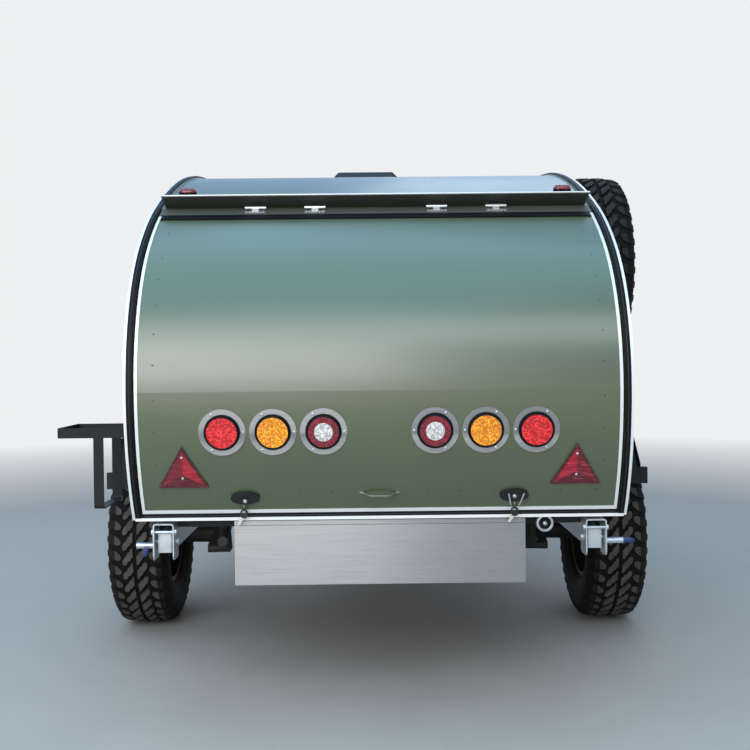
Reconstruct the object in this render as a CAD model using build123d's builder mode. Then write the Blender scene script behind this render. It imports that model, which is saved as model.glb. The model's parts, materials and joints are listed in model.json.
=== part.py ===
from build123d import *
import os
from math import asin, cos, degrees, hypot, radians, sin, tan

# A small off-road teardrop trailer, standing level on its two wheels and its jockey wheel.
# Millimetres. X to the right seen from behind, Y forward, Z up from the ground.
# The origin is on the ground under the middle of the whole trailer.
# Lengths along Y are first given from the rearmost point of the hatch, which is at BULGE_Y.

# Sizes of the whole trailer
REAR_REACH = 9            # lamps stand this far behind the hatch's rearmost point
TIP = 4170                # nose of the coupling, ahead of the hatch's rearmost point
BULGE_Y = REAR_REACH - (TIP + REAR_REACH) / 2
BODY_WIDTH = 1500
BODY_HALF = BODY_WIDTH / 2
BODY_BOTTOM = 625
CLEAR = 0.3               # seat between a piece and what carries it
GAP = 5                   # gap round a piece that moves

# Side outline of the body, walked from the rear bottom corner over the roof to the nose.
# It always turns the same way, so each place on it has its own heading:
# 90 is straight up, 0 is level and forward, -90 is straight down.
BULGE_Z = 1010            # height of the rearmost point
LOWER_RADIUS = 770        # lower hatch
UPPER_RADIUS = 580        # upper hatch
BROW_RADIUS = 1100        # hatch under the visor
ROOF_RADIUS = 2970
FOREHEAD_RADIUS = 850
NOSE_RADIUS = 1200
# Columns: radius, heading where the arc ends
OUTLINE_ARCS = [
    (LOWER_RADIUS, 90),
    (UPPER_RADIUS, 40),
    (BROW_RADIUS, 26.2),
    (ROOF_RADIUS, -8),
    (FOREHEAD_RADIUS, -78),
    (NOSE_RADIUS, -102),
]
CORNER_HEADING = 90 + degrees(asin((BULGE_Z - BODY_BOTTOM) / LOWER_RADIUS))
NOSE_HEADING = OUTLINE_ARCS[-1][1]

# Walls
WALL = 24
INNER_HALF = BODY_HALF - WALL
ROOF_DROP = 4             # the roof skin lies this far inside the outline
ROOF_THICK = 30
FLOOR_THICK = 15

# Edge trims: a silver angle outside, a black seal beside it
TRIM_PROUD = 6
TRIM_FACE = 22            # height of the flange on the wall
TRIM_SHEET = 2
SEAL_PROUD = 5
SEAL_WIDTH = 18
TRIM_COVER = WALL - SEAL_WIDTH
SILL_REAR = 100           # silver sill under the hatch, from the bulge
SILL_LONG = 45
SILL_TALL = 9.5
SILL_SEAL_REAR = 104
SILL_SEAL_LONG = 28
FLOOR_REAR = 141

# Hatch
HATCH_DROP = 3            # hatch skin lies this far inside the outline
HATCH_THICK = 25
HATCH_HALF = INNER_HALF - GAP
HATCH_BOTTOM = 639.5
HATCH_TOP = 465           # forward end of the hatch, from the bulge
HATCH_TRIM_SIDE = 9
HATCH_TRIM_FOOT = 10
HATCH_TRIM_SHEET = 2
RAIL_START = 405          # top rail and the seal line below it, from the bulge
SEAL_START = 372
RAIL_SHEET = 3

# Hatch hinges
HINGE_AT = 445            # axis, from the bulge
HINGE_PROUD = 8           # axis above the outline
HINGE_X = [-405, -205, 205, 405]
HINGE_WIDTH = 70
BARREL_RADIUS = 6
PIN_RADIUS = 3
PIN_CLEAR = 0.15
LEAF = 2.5
LEAF_REACH = 35
LEAF_SHORT = 8            # roof leaves end this far behind the visor's root
LEAF_DIG = 0.3            # roof leaves touch the roof's curve by this depth

# Visor over the hinges
VISOR_ROOT = 492
VISOR_END = 550
VISOR_LIP = 410
VISOR_LIP_Z = 1652
VISOR_SHORT = 34          # visor ends this far inside the wall's face
VISOR_HALF = BODY_HALF - VISOR_SHORT
VISOR_SHEET = 3
VISOR_TURN = 6

# Lamps on the hatch
LAMP_Z = 890
# Columns: distance from the middle, kind of lens
LAMPS = [(465, "red"), (315, "amber"), (165, "reverse")]
FLANGE_RADIUS = 70
FLANGE_THICK = 3
GASKET_RADIUS = 53.5
GASKET_HEIGHT = 8
LENS_RADIUS = 49.5
LENS_HEIGHT = 14
LENS_ROUND = 5
REVERSE_RADIUS = 28

# Triangles, latches and handle
TRIANGLE_X = BODY_HALF - 163
TRIANGLE_Z = 765
TRIANGLE_SIDE = 150
TRIANGLE_HEIGHT = 7
LATCH_X = 405
LATCH_Z = 690
LATCH_LONG = 87
LATCH_TALL = 41
LATCH_HEIGHT = 12
LOCK_RADIUS = 6
LOCK_PROUD = 3
HANDLE_Z = 684
HANDLE_HALF = 56
HANDLE_RADIUS = 5
HANDLE_PROUD = 32
HANDLE_BEND = 16

# Marker lamps and roof vent
MARKER_X = BODY_HALF - 84
MARKER_AT = 640
MARKER_LONG = 60
MARKER_WIDE = 34
MARKER_HEIGHT = 28
MARKER_DOME = 14
VENT_X = -35
VENT_AT = 1840
VENT_SIZE = 290
VENT_FRAME = 22
VENT_FRAME_HEIGHT = 30
VENT_LID = 36
VENT_SHEET = 3
VENT_SEAT = 8             # depth from which the frame is cut to the roof's curve
VENT_ROUND = 25
VENT_OPEN = VENT_SIZE - 2 * VENT_FRAME
VENT_OPEN_ROUND = 12
VENT_BEVEL = 20
VENT_HINGE_X = [-80, 80]
VENT_HINGE_WIDTH = 42
VENT_BARREL = 4

# Doors
DOOR_REAR = 1840
DOOR_FRONT = 2500
DOOR_LOW = 680
DOOR_HIGH = 1600
DOOR_ROUND = 100
WINDOW_WIDTH = 420
WINDOW_HEIGHT = 380
WINDOW_Z = 1330
WINDOW_ROUND = 50
GLASS = 6
DOOR_HINGE_Z = [860, 1430]
DOOR_HINGE_OUT = 8
DOOR_HINGE_TALL = 66
DOOR_LEAF_REACH = 46
DOOR_BARREL = 7
DOOR_PIN = 3.5
DOOR_LATCH_Z = 1080
DOOR_LATCH_IN = 75        # from the door's rear edge
DOOR_LATCH_LONG = 90
DOOR_LATCH_TALL = 70
DOOR_LATCH_ROUND = 14

# Wheels
AXLE_AT = 1350
TYRE_RADIUS = 366.5
TYRE_WIDTH = 235
TREAD_WIDTH = 190
BEAD_RADIUS = 190.5
BEAD_HALF = 80
WHEEL_OUT = 205           # wheel's middle outside the wall
WHEEL_X = BODY_HALF + WHEEL_OUT
SIDEWALL_DROP = 79        # widest place of the tyre, below the tread
SHOULDER_WIDER = 8
SHOULDER_DROP = 24
TREAD_EDGE = 4
TREAD_CROWN = 1
BEAD_TALL = 14
RIM_LIP = 6
RIM_BARREL = 8
SPINDLE = 15
DRUM_RADIUS = 115
DRUM_INSIDE = 58          # drum's inner end from the wheel's middle
DISC_AT = 22              # wheel disc outside the wheel's middle
DISC_THICK = 12
WINDOWS = 8
WINDOW_RING = 132
WINDOW_RADIUS = 24
HUB_RADIUS = 38
HUB_LONG = 26
HUB_TAPER = 12

# Spare wheel
SPARE_AT = 1207
SPARE_Z = 1466
SPARE_X = BODY_HALF + 126
CARRIER_PLATE = 240
CARRIER_SHEET = 5
CARRIER_ROUND = 20
CARRIER_DISC = 84
CARRIER_DISC_THICK = 8

# Chassis
RAIL_X = BODY_HALF - 90
RAIL_WIDE = 50
RAIL_TALL = 40
FRAME_REAR = 175
FRAME_FRONT = 2850
CROSS_AT = [200, 780, 1350, 1960, 2825]
ARM_PIVOT_AT = 1770
ARM_PIVOT_Z = 480
ARM_TAIL_AT = 1070
ARM_TAIL_Z = 352
ARM_WIDE = 38
ARM_EYE = 34
ARM_BOSS = 44
ARM_PIN = 10
EAR_SHEET = 5
EAR_REACH = 70
SPRING_AT = 1480
SPRING_RADIUS = 48
SPRING_LOW = 472
SEAT_WIDER = 4
SEAT_SHEET = 5
SEAT_POST = 60
SHOCK_TOP = (950, 590)    # from the bulge, height
SHOCK_RADIUS = 24
SHOCK_ROD = 11
SHOCK_X = RAIL_X - 54
SHOCK_EYE = 16
SHOCK_BODY = 0.6          # share of its length that is the wide tube

# Drop legs
LEG_X = RAIL_X
LEG_PIVOT_AT = 152
LEG_PIVOT_Z = 545
LEG_PIN = 8
LEG_WIDE = 40
LEG_TALL = 60
LEG_SHEET = 3
LEG_TAIL = 30
LEG_LENGTH = 530
LEG_FOOT = 84
LEG_FOOT_THICK = 6
BRACKET_WIDE = 64
BRACKET_LOW = 495
BRACKET_TOP = 607
BRACKET_SHEET = 4
BRACKET_BEND = 9
BRACKET_ROUND = 14
BRACKET_REAR = 98
STOP_AT = 112             # stop bolt, over the end of the stored leg
STOP_Z = 580
STOP_RADIUS = 5
PIN_PROUD = 6
PLUNGER_Z = 538
PLUNGER_AT = 122
PLUNGER_OUT = 54
PLUNGER_RADIUS = 9

# Tank under the rear
TANK_HALF = BODY_HALF - 305
TANK_LOW = 414
TANK_REAR = 112
TANK_LONG = 500
TANK_TOP_GAP = SILL_TALL + 3
DRAIN_X = TANK_HALF + 67
DRAIN_Z = 588
DRAIN_RADIUS = 27
DRAIN_LONG = 22

# Fenders
FENDER_OUT = BODY_HALF + 255
FENDER_SHEET = 3
FENDER_SKIRT = 25
# Columns: distance from the bulge, height
FENDER_PATH = [(900, 617), (900, 679), (996, 775), (1704, 775), (1800, 679), (1800, 617)]
FLAP_IN = BODY_HALF + 60  # box behind the fender's foot, which carries a mud flap
FLAP_OUT = BODY_HALF + 281
FLAP_TALL = 62
FLAP_THICK = 24

# Jerry can holder on the left
CAN_REAR = 360
CAN_FRONT = 610
CAN_OUT = BODY_HALF + 310
CAN_TOP = 884
CAN_LOW = 616
CAN_BAR = 33
CAN_SHEET = 4
CAN_ROUND = 12
CAN_STRAP_ROUND = 14
CAN_STRAP_X = BODY_HALF + 174

# Drawbar, coupling, jack
DRAWBAR_ROOT = 2560
DRAWBAR_ROOT_X = BODY_HALF - 190
DRAWBAR_END = 3960
DRAWBAR_END_X = 38
DRAWBAR_WIDE = 50
DRAWBAR_TALL = 60
COUPLING_AT = 4125
COUPLING_HEAD = TIP - COUPLING_AT
COUPLING_TALL = 62
COUPLING_ROUND = 12
COUPLING_BACK = 10
LEVER_WIDE = 16
LEVER_SHEET = 6
# Columns: back from the ball, height over the coupling's top
LEVER_PATH = [(0, -6), (0, 14), (105, 34)]
BALL_RADIUS = 25
BALL_CLEAR = 0.3
BALL_DEPTH = 30
JACK_AT = 3730
JACK_SLEEVE = 30
JACK_TUBE = 25
JACK_TOP = 900
JACK_LOW = 400
JACK_CAP = 10
JACK_PLATE = 8
JACK_PLATE_WIDE = 226
JACK_PLATE_LONG = 110
CRANK_BAR = 12
CRANK_RISE = 50
CRANK_REACH = 110
CRANK_GRIP = 130
CRANK_BEND = 12
TUBE_SHORT = 160          # jack tube ends this far below its sleeve's top
JOCKEY_RADIUS = 100
JOCKEY_WIDE = 60
JOCKEY_TRAIL = 55
JOCKEY_BEVEL = 8
JOCKEY_PIN = 8
FORK_SHEET = 5
FORK_LONG = 50
FORK_EYE = 20
FORK_WIDER = 8            # fork's crown round the tube
FORK_STEP = 4
FORK_TOP = 222
TUBE_END = 246

# Toolbox ahead of the nose
BOX_HALF = BODY_HALF - 300
BOX_REAR = 3010
BOX_LONG = 340
BOX_HIGH = 320
BOX_SHEET = 3
BOX_LIP = 25
BOX_LID_BACK = 2          # lid's rear edge stands in from the box's rear wall
BOX_HINGE_X = [-270, 270]
BOX_HINGE_WIDTH = 66
BOX_BARREL = 5

# Galley behind the hatch
BULKHEAD_AT = 640
COUNTER_Z = 960
COUNTER_REAR = 130
COUNTER_OVER = 60         # counter stands out over its uprights
PANEL = 15

os.makedirs("parts", exist_ok=True)


def save(piece, name):
    """Label a finished piece and write it."""
    piece.part.label = name
    export_step(piece.part, f"parts/{name}.step")


def fore(distance):
    """Y of a place that lies this far ahead of the hatch's rearmost point."""
    return BULGE_Y + distance


def walk_outline():
    """Each arc of the side outline as centre y, centre z, radius, first and last heading."""
    arcs = []
    y = BULGE_Y + LOWER_RADIUS * (1 - sin(radians(CORNER_HEADING)))
    z = BODY_BOTTOM
    heading = CORNER_HEADING
    for radius, last in OUTLINE_ARCS:
        centre_y = y + radius * sin(radians(heading))
        centre_z = z - radius * cos(radians(heading))
        arcs.append((centre_y, centre_z, radius, heading, last))
        y = centre_y - radius * sin(radians(last))
        z = centre_z + radius * cos(radians(last))
        heading = last
    return arcs


ARCS = walk_outline()


def on_arc(arc, heading, out):
    """Point (y, z) of an arc at a heading, moved out square to the outline."""
    centre_y, centre_z, radius, first, last = arc
    reach = radius + out
    return (centre_y - reach * sin(radians(heading)), centre_z + reach * cos(radians(heading)))


def on_outline(heading, out=0):
    """Point (y, z) of the outline at a heading, moved out square to it."""
    for arc in ARCS:
        if heading >= arc[4]:
            return on_arc(arc, heading, out)
    return on_arc(ARCS[-1], heading, out)


def heading_at(distance, out=0):
    """Heading of the roof or upper hatch at a distance ahead of the bulge."""
    y = fore(distance)
    for arc in ARCS[1:]:
        turn = (arc[0] - y) / (arc[2] + out)
        if abs(turn) <= 1 and arc[4] <= degrees(asin(turn)) <= arc[3]:
            return degrees(asin(turn))
    return NOSE_HEADING


def heading_at_height(z, out=0):
    """Heading of the rear face at a height, below the visor's part of the hatch."""
    arc = ARCS[0] if z < BULGE_Z else ARCS[1]
    return 90 + degrees(asin((arc[1] - z) / (arc[2] + out)))


def nose_foot(bottom, out):
    """Y where the nose, moved out and carried straight on, comes down to a height."""
    y, z = on_outline(NOSE_HEADING, out)
    return y - (z - bottom) / tan(radians(NOSE_HEADING))


def outline_edges(out, first, last):
    """Draw the arcs of the outline, moved out, from one heading to another."""
    for arc in ARCS:
        start = first if arc is ARCS[0] else min(first, arc[3])
        end = max(last, arc[4])
        if start - end > 0.001:
            middle = (start + end) / 2
            ThreePointArc(on_arc(arc, start, out), on_arc(arc, middle, out), on_arc(arc, end, out))


def body_outline(out, bottom, mode=Mode.ADD):
    """Fill the closed side outline, moved out, down to a height."""
    first = heading_at_height(bottom, out)
    with BuildLine() as edge:
        outline_edges(out, first, NOSE_HEADING)
        Polyline(on_outline(NOSE_HEADING, out), (nose_foot(bottom, out), bottom),
                 on_outline(first, out))
    make_face(edge.edges(), mode=mode)


def band(outer, inner, first, last):
    """Fill a strip that follows the outline between two offsets and two headings."""
    with BuildLine() as edge:
        outline_edges(outer, first, last)
        outline_edges(inner, first, last)
        Line(on_outline(first, outer), on_outline(first, inner))
        Line(on_outline(last, outer), on_outline(last, inner))
    make_face(edge.edges())


def surface_plane(x, heading, out):
    """Plane on the outline: its x goes right, its y along the skin, its z outwards."""
    y, z = on_outline(heading, out)
    normal = (0, -sin(radians(heading)), cos(radians(heading)))
    return Plane(origin=(x, y, z), x_dir=(1, 0, 0), z_dir=normal)


def section_plane(x, heading, out):
    """Plane across the skin: its x goes forward along the skin, its y outwards."""
    y, z = on_outline(heading, out)
    along = (0, cos(radians(heading)), sin(radians(heading)))
    return Plane(origin=(x, y, z), x_dir=along, z_dir=(1, 0, 0))


def lid_knuckles(middle, places, width, axis, barrel, toward):
    """Outer knuckles of a lid's hinges with their pin, joined to a wall beside them."""
    third = width / 3
    wall = Align.MIN if toward > 0 else Align.MAX
    for place in places:
        start = middle + place - width / 2
        for base in (start, start + width - third):
            with BuildSketch(Plane.YZ.offset(base)) as knuckle:
                with Locations(axis):
                    Circle(barrel)
                with Locations((axis[0], axis[1] - CLEAR)):
                    Rectangle(barrel + 1, 2 * barrel, align=(wall, Align.MAX))
            extrude(knuckle.sketch, amount=third)
        with BuildSketch(Plane.YZ.offset(start)) as pin:
            with Locations(axis):
                Circle(barrel / 2)
        extrude(pin.sketch, amount=width)


def lid_barrels(middle, places, width, axis, barrel, toward):
    """Middle knuckles of a lid's hinges, bored for the pin, with a leaf into the lid."""
    third = width / 3
    for place in places:
        with BuildSketch(Plane.YZ.offset(middle + place - third / 2 + CLEAR)) as knuckle:
            with Locations(axis):
                Circle(barrel)
                Rectangle(barrel + GAP, LEAF,
                          align=(Align.MIN if toward > 0 else Align.MAX, Align.MIN))
                Circle(barrel / 2 + PIN_CLEAR, mode=Mode.SUBTRACT)
        extrude(knuckle.sketch, amount=third - 2 * CLEAR)


SIDES = [("left", -1), ("right", 1)]
CORNER = heading_at_height(HATCH_BOTTOM, -HATCH_DROP)
HINGE_HEADING = heading_at(HINGE_AT, HINGE_PROUD)
HATCH_TOP_HEADING = heading_at(HATCH_TOP)
ROOF_START_HEADING = heading_at(HATCH_TOP + GAP + 1)
VISOR_ROOT_HEADING = heading_at(VISOR_ROOT)
VISOR_END_HEADING = heading_at(VISOR_END)
LAMP_HEADING = heading_at_height(LAMP_Z)
DOOR_MIDDLE = fore((DOOR_REAR + DOOR_FRONT) / 2)
DOOR_WIDTH = DOOR_FRONT - DOOR_REAR
DOOR_TALL = DOOR_HIGH - DOOR_LOW
DOOR_CENTRE_Z = (DOOR_HIGH + DOOR_LOW) / 2

# Side walls, each with its door opening
for side, sign in SIDES:
    with BuildPart() as wall:
        with BuildSketch(Plane.YZ.offset(min(sign * INNER_HALF, sign * BODY_HALF))):
            body_outline(0, BODY_BOTTOM)
            with Locations((DOOR_MIDDLE, DOOR_CENTRE_Z)):
                RectangleRounded(DOOR_WIDTH, DOOR_TALL, DOOR_ROUND, mode=Mode.SUBTRACT)
        extrude(amount=WALL)
    save(wall, f"side_wall_{side}")

# Doors: a panel as thick as the wall, with its window cut, and dark glass in it
for side, sign in SIDES:
    inner = min(sign * INNER_HALF, sign * BODY_HALF)
    with BuildPart() as door:
        with BuildSketch(Plane.YZ.offset(inner)):
            with Locations((DOOR_MIDDLE, DOOR_CENTRE_Z)):
                RectangleRounded(DOOR_WIDTH - 2 * GAP, DOOR_TALL - 2 * GAP, DOOR_ROUND - GAP)
            with Locations((DOOR_MIDDLE, WINDOW_Z)):
                RectangleRounded(WINDOW_WIDTH, WINDOW_HEIGHT, WINDOW_ROUND, mode=Mode.SUBTRACT)
        extrude(amount=WALL)
    save(door, f"door_{side}")

    with BuildPart() as glass:
        with BuildSketch(Plane.YZ.offset(inner + (WALL - GLASS) / 2)):
            with Locations((DOOR_MIDDLE, WINDOW_Z)):
                RectangleRounded(
                    WINDOW_WIDTH - 2 * CLEAR, WINDOW_HEIGHT - 2 * CLEAR, WINDOW_ROUND - CLEAR)
        extrude(amount=GLASS)
    save(glass, f"door_glass_{side}")

# Door hinges: posts with pins on the wall, straps with a bored knuckle on the door
DOOR_AXIS_X = BODY_HALF + DOOR_HINGE_OUT
DOOR_AXIS_Y = fore(DOOR_FRONT)
THIRD = DOOR_HINGE_TALL / 3
with BuildPart() as posts:
    for z in DOOR_HINGE_Z:
        for base in (z - DOOR_HINGE_TALL / 2, z + DOOR_HINGE_TALL / 2 - THIRD):
            with BuildSketch(Plane.XY.offset(base)):
                with Locations((DOOR_AXIS_X, DOOR_AXIS_Y)):
                    Circle(DOOR_BARREL)
                with Locations((BODY_HALF + CLEAR, DOOR_AXIS_Y)):
                    Rectangle(LEAF, DOOR_BARREL * 2, align=(Align.MIN, Align.MIN))
            extrude(amount=THIRD)
        with BuildSketch(Plane.XY.offset(z - DOOR_HINGE_TALL / 2)):
            with Locations((BODY_HALF + CLEAR, DOOR_AXIS_Y + DOOR_BARREL + 2)):
                Rectangle(LEAF, DOOR_LEAF_REACH, align=(Align.MIN, Align.MIN))
            with Locations((DOOR_AXIS_X, DOOR_AXIS_Y)):
                Circle(DOOR_PIN)
        extrude(amount=DOOR_HINGE_TALL)
    mirror(about=Plane.YZ)
save(posts, "door_hinge_posts")

for side, sign in SIDES:
    with BuildPart() as straps:
        for z in DOOR_HINGE_Z:
            with BuildSketch(Plane.XY.offset(z - THIRD / 2 + CLEAR)):
                with Locations((sign * DOOR_AXIS_X, DOOR_AXIS_Y)):
                    Circle(DOOR_BARREL)
                with Locations((sign * (BODY_HALF + CLEAR + LEAF / 2), DOOR_AXIS_Y)):
                    Rectangle(LEAF, DOOR_LEAF_REACH, align=(Align.CENTER, Align.MAX))
                with Locations((sign * DOOR_AXIS_X, DOOR_AXIS_Y)):
                    Circle(DOOR_PIN + PIN_CLEAR, mode=Mode.SUBTRACT)
            extrude(amount=THIRD - 2 * CLEAR)
        latch_x = BODY_HALF + CLEAR if sign > 0 else -BODY_HALF - CLEAR - LATCH_HEIGHT
        with BuildSketch(Plane.YZ.offset(latch_x)):
            with Locations((fore(DOOR_REAR + DOOR_LATCH_IN), DOOR_LATCH_Z)):
                RectangleRounded(DOOR_LATCH_LONG, DOOR_LATCH_TALL, DOOR_LATCH_ROUND)
        extrude(amount=LATCH_HEIGHT)
    save(straps, f"door_fittings_{side}")

# Roof, in one skin from the hatch over the top and down the nose, open under the vent
ROOF_INSIDE = -ROOF_DROP - ROOF_THICK
VENT_HEADING = heading_at(VENT_AT)
VENT_BASE = on_outline(VENT_HEADING)[1]
with BuildPart() as roof:
    with BuildSketch(Plane.YZ.offset(-INNER_HALF)):
        band(-ROOF_DROP, ROOF_INSIDE, ROOF_START_HEADING, NOSE_HEADING)
        with BuildLine():
            Polyline(
                on_outline(NOSE_HEADING, -ROOF_DROP),
                (nose_foot(BODY_BOTTOM, -ROOF_DROP), BODY_BOTTOM),
                (nose_foot(BODY_BOTTOM, ROOF_INSIDE), BODY_BOTTOM),
                on_outline(NOSE_HEADING, ROOF_INSIDE), close=True)
        make_face()
    extrude(amount=2 * INNER_HALF)
    with BuildSketch(Plane.XY.offset(VENT_BASE - 2 * ROOF_THICK)):
        with Locations((VENT_X, fore(VENT_AT))):
            RectangleRounded(VENT_OPEN, VENT_OPEN, VENT_OPEN_ROUND)
    extrude(amount=3 * ROOF_THICK, mode=Mode.SUBTRACT)
save(roof, "roof_shell")

# Floor
with BuildPart() as floor:
    floor_front = nose_foot(BODY_BOTTOM, ROOF_INSIDE) - CLEAR
    with BuildSketch(Plane.XY.offset(BODY_BOTTOM)):
        with Locations((0, fore(FLOOR_REAR))):
            Rectangle(2 * INNER_HALF, floor_front - fore(FLOOR_REAR),
                      align=(Align.CENTER, Align.MIN))
    extrude(amount=FLOOR_THICK)
save(floor, "floor_panel")

# Galley: bulkhead, counter and two uprights under it
with BuildPart() as galley:
    bulk_top = on_outline(heading_at(BULKHEAD_AT - PANEL, ROOF_INSIDE), ROOF_INSIDE)[1] - CLEAR
    bulk_foot = BODY_BOTTOM + FLOOR_THICK
    with BuildSketch(Plane.XZ.offset(-fore(BULKHEAD_AT))):
        with Locations((0, bulk_foot)):
            Rectangle(2 * INNER_HALF, bulk_top - bulk_foot, align=(Align.CENTER, Align.MIN))
    extrude(amount=PANEL)
    with BuildSketch(Plane.XY.offset(COUNTER_Z)):
        with Locations((0, fore(COUNTER_REAR))):
            Rectangle(
                2 * INNER_HALF, BULKHEAD_AT - COUNTER_REAR, align=(Align.CENTER, Align.MIN))
    extrude(amount=PANEL)
    for x in (-INNER_HALF / 3, INNER_HALF / 3):
        with BuildSketch(Plane.YZ.offset(x - PANEL / 2)):
            with Locations((fore(COUNTER_REAR + COUNTER_OVER), bulk_foot)):
                Rectangle(
                    BULKHEAD_AT - COUNTER_REAR - COUNTER_OVER, COUNTER_Z - bulk_foot,
                    align=(Align.MIN, Align.MIN))
        extrude(amount=PANEL)
save(galley, "galley_unit")

# Silver edge trims round both sides, and the sill under the hatch
with BuildPart() as trims:
    with BuildSketch(Plane.YZ.offset(BODY_HALF - TRIM_COVER)):
        body_outline(TRIM_PROUD, BODY_BOTTOM - TRIM_PROUD)
        body_outline(CLEAR, BODY_BOTTOM - CLEAR, mode=Mode.SUBTRACT)
    extrude(amount=TRIM_COVER + TRIM_SHEET)
    with BuildSketch(Plane.YZ.offset(BODY_HALF)):
        body_outline(TRIM_PROUD, BODY_BOTTOM - TRIM_PROUD)
        body_outline(-TRIM_FACE, BODY_BOTTOM + TRIM_FACE, mode=Mode.SUBTRACT)
    extrude(amount=TRIM_SHEET)
    mirror(about=Plane.YZ)
    with BuildSketch(Plane.XY.offset(BODY_BOTTOM - SILL_TALL)):
        with Locations((0, fore(SILL_REAR))):
            Rectangle(2 * (INNER_HALF + SEAL_WIDTH), SILL_LONG, align=(Align.CENTER, Align.MIN))
    extrude(amount=SILL_TALL - CLEAR)
save(trims, "edge_trims")

# Black seals beside the trims, and on the sill
with BuildPart() as seals:
    with BuildSketch(Plane.YZ.offset(INNER_HALF + CLEAR)):
        body_outline(SEAL_PROUD, BODY_BOTTOM - CLEAR)
        body_outline(CLEAR, BODY_BOTTOM - CLEAR, mode=Mode.SUBTRACT)
    extrude(amount=SEAL_WIDTH - 2 * CLEAR)
    mirror(about=Plane.YZ)
    with BuildSketch(Plane.XY.offset(BODY_BOTTOM)):
        with Locations((0, fore(SILL_SEAL_REAR))):
            Rectangle(2 * (INNER_HALF - CLEAR), SILL_SEAL_LONG, align=(Align.CENTER, Align.MIN))
    extrude(amount=HATCH_BOTTOM - BODY_BOTTOM - GAP)
save(seals, "edge_seals")

# Visor: a flange on the roof and a thin sheet that stands out over the hinges
with BuildPart() as visor:
    lip = (fore(VISOR_LIP), VISOR_LIP_Z)
    with BuildSketch(Plane.YZ.offset(-VISOR_HALF)):
        band(CLEAR - ROOF_DROP + VISOR_SHEET, CLEAR - ROOF_DROP,
             VISOR_ROOT_HEADING, VISOR_END_HEADING)
        with BuildLine():
            Polyline(
                on_outline(VISOR_ROOT_HEADING, CLEAR - ROOF_DROP), lip,
                (lip[0], lip[1] + VISOR_SHEET),
                on_outline(VISOR_ROOT_HEADING, CLEAR - ROOF_DROP + VISOR_SHEET), close=True)
        make_face()
        with Locations((lip[0], lip[1] + VISOR_SHEET)):
            Rectangle(VISOR_SHEET, VISOR_TURN, align=(Align.MIN, Align.MAX))
    extrude(amount=2 * VISOR_HALF)
save(visor, "rain_visor")

# Marker lamps on the roof's rear corners
with BuildPart() as markers:
    heading = heading_at(MARKER_AT)
    for x in (-MARKER_X, MARKER_X):
        with BuildSketch(surface_plane(x, heading, CLEAR - ROOF_DROP)):
            SlotOverall(MARKER_LONG, MARKER_WIDE)
        extrude(amount=MARKER_HEIGHT)
    skin = surface_plane(0, heading, CLEAR - ROOF_DROP)
    tops = markers.faces().group_by(Axis(skin.origin, skin.z_dir))[-1]
    fillet(tops.edges(), MARKER_DOME)
save(markers, "marker_lamps")

# Roof vent: a frame on the roof and a lid hinged at its front
VENT_TOP = VENT_BASE - ROOF_DROP + VENT_FRAME_HEIGHT + CLEAR
VENT_AXIS = (fore(VENT_AT) + VENT_SIZE / 2 + VENT_BARREL + 1, VENT_TOP)
with BuildPart() as vent_frame:
    with BuildSketch(Plane.XY.offset(VENT_BASE - ROOF_DROP - VENT_SEAT)):
        with Locations((VENT_X, fore(VENT_AT))):
            RectangleRounded(VENT_SIZE, VENT_SIZE, VENT_ROUND)
            RectangleRounded(VENT_OPEN, VENT_OPEN, VENT_OPEN_ROUND, mode=Mode.SUBTRACT)
    extrude(amount=VENT_FRAME_HEIGHT + VENT_SEAT)
    with BuildSketch(Plane.YZ.offset(-INNER_HALF)):
        body_outline(CLEAR - ROOF_DROP, BODY_BOTTOM)
    extrude(amount=2 * INNER_HALF, mode=Mode.SUBTRACT)
    lid_knuckles(VENT_X, VENT_HINGE_X, VENT_HINGE_WIDTH, VENT_AXIS, VENT_BARREL, -1)
save(vent_frame, "vent_frame")

with BuildPart() as vent_lid:
    with BuildSketch(Plane.XY.offset(VENT_TOP)):
        with Locations((VENT_X, fore(VENT_AT))):
            RectangleRounded(VENT_SIZE, VENT_SIZE, VENT_ROUND)
    extrude(amount=VENT_LID)
    chamfer(vent_lid.faces().sort_by(Axis.Z)[-1].edges(), VENT_BEVEL)
    offset(amount=-VENT_SHEET, openings=vent_lid.faces().sort_by(Axis.Z)[0])
    lid_barrels(VENT_X, VENT_HINGE_X, VENT_HINGE_WIDTH, VENT_AXIS, VENT_BARREL, -1)
save(vent_lid, "vent_lid")

# Hatch shell, from the sill up to its seam under the visor
with BuildPart() as hatch:
    with BuildSketch(Plane.YZ.offset(-HATCH_HALF)):
        band(-HATCH_DROP, -HATCH_DROP - HATCH_THICK, CORNER, HATCH_TOP_HEADING)
    extrude(amount=2 * HATCH_HALF)
save(hatch, "hatch_shell")

# Silver trim round the hatch: two thin side strips and a wider foot
FOOT_HEADING = heading_at_height(HATCH_BOTTOM + HATCH_TRIM_FOOT, -HATCH_DROP)
TRIM_LOW = CLEAR - HATCH_DROP
with BuildPart() as hatch_trim:
    for x in (-HATCH_HALF, HATCH_HALF - HATCH_TRIM_SIDE):
        with BuildSketch(Plane.YZ.offset(x)):
            band(TRIM_LOW + HATCH_TRIM_SHEET, TRIM_LOW, CORNER, heading_at(RAIL_START - GAP))
        extrude(amount=HATCH_TRIM_SIDE)
    with BuildSketch(Plane.YZ.offset(-HATCH_HALF)):
        band(TRIM_LOW + HATCH_TRIM_SHEET, TRIM_LOW, CORNER, FOOT_HEADING)
    extrude(amount=2 * HATCH_HALF)
save(hatch_trim, "hatch_trim")

# Top rail of the hatch and the seal line below it
with BuildPart() as rail:
    with BuildSketch(Plane.YZ.offset(-HATCH_HALF)):
        band(TRIM_LOW + RAIL_SHEET, TRIM_LOW, heading_at(RAIL_START), HATCH_TOP_HEADING)
    extrude(amount=2 * HATCH_HALF)
save(rail, "hatch_top_rail")

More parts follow.
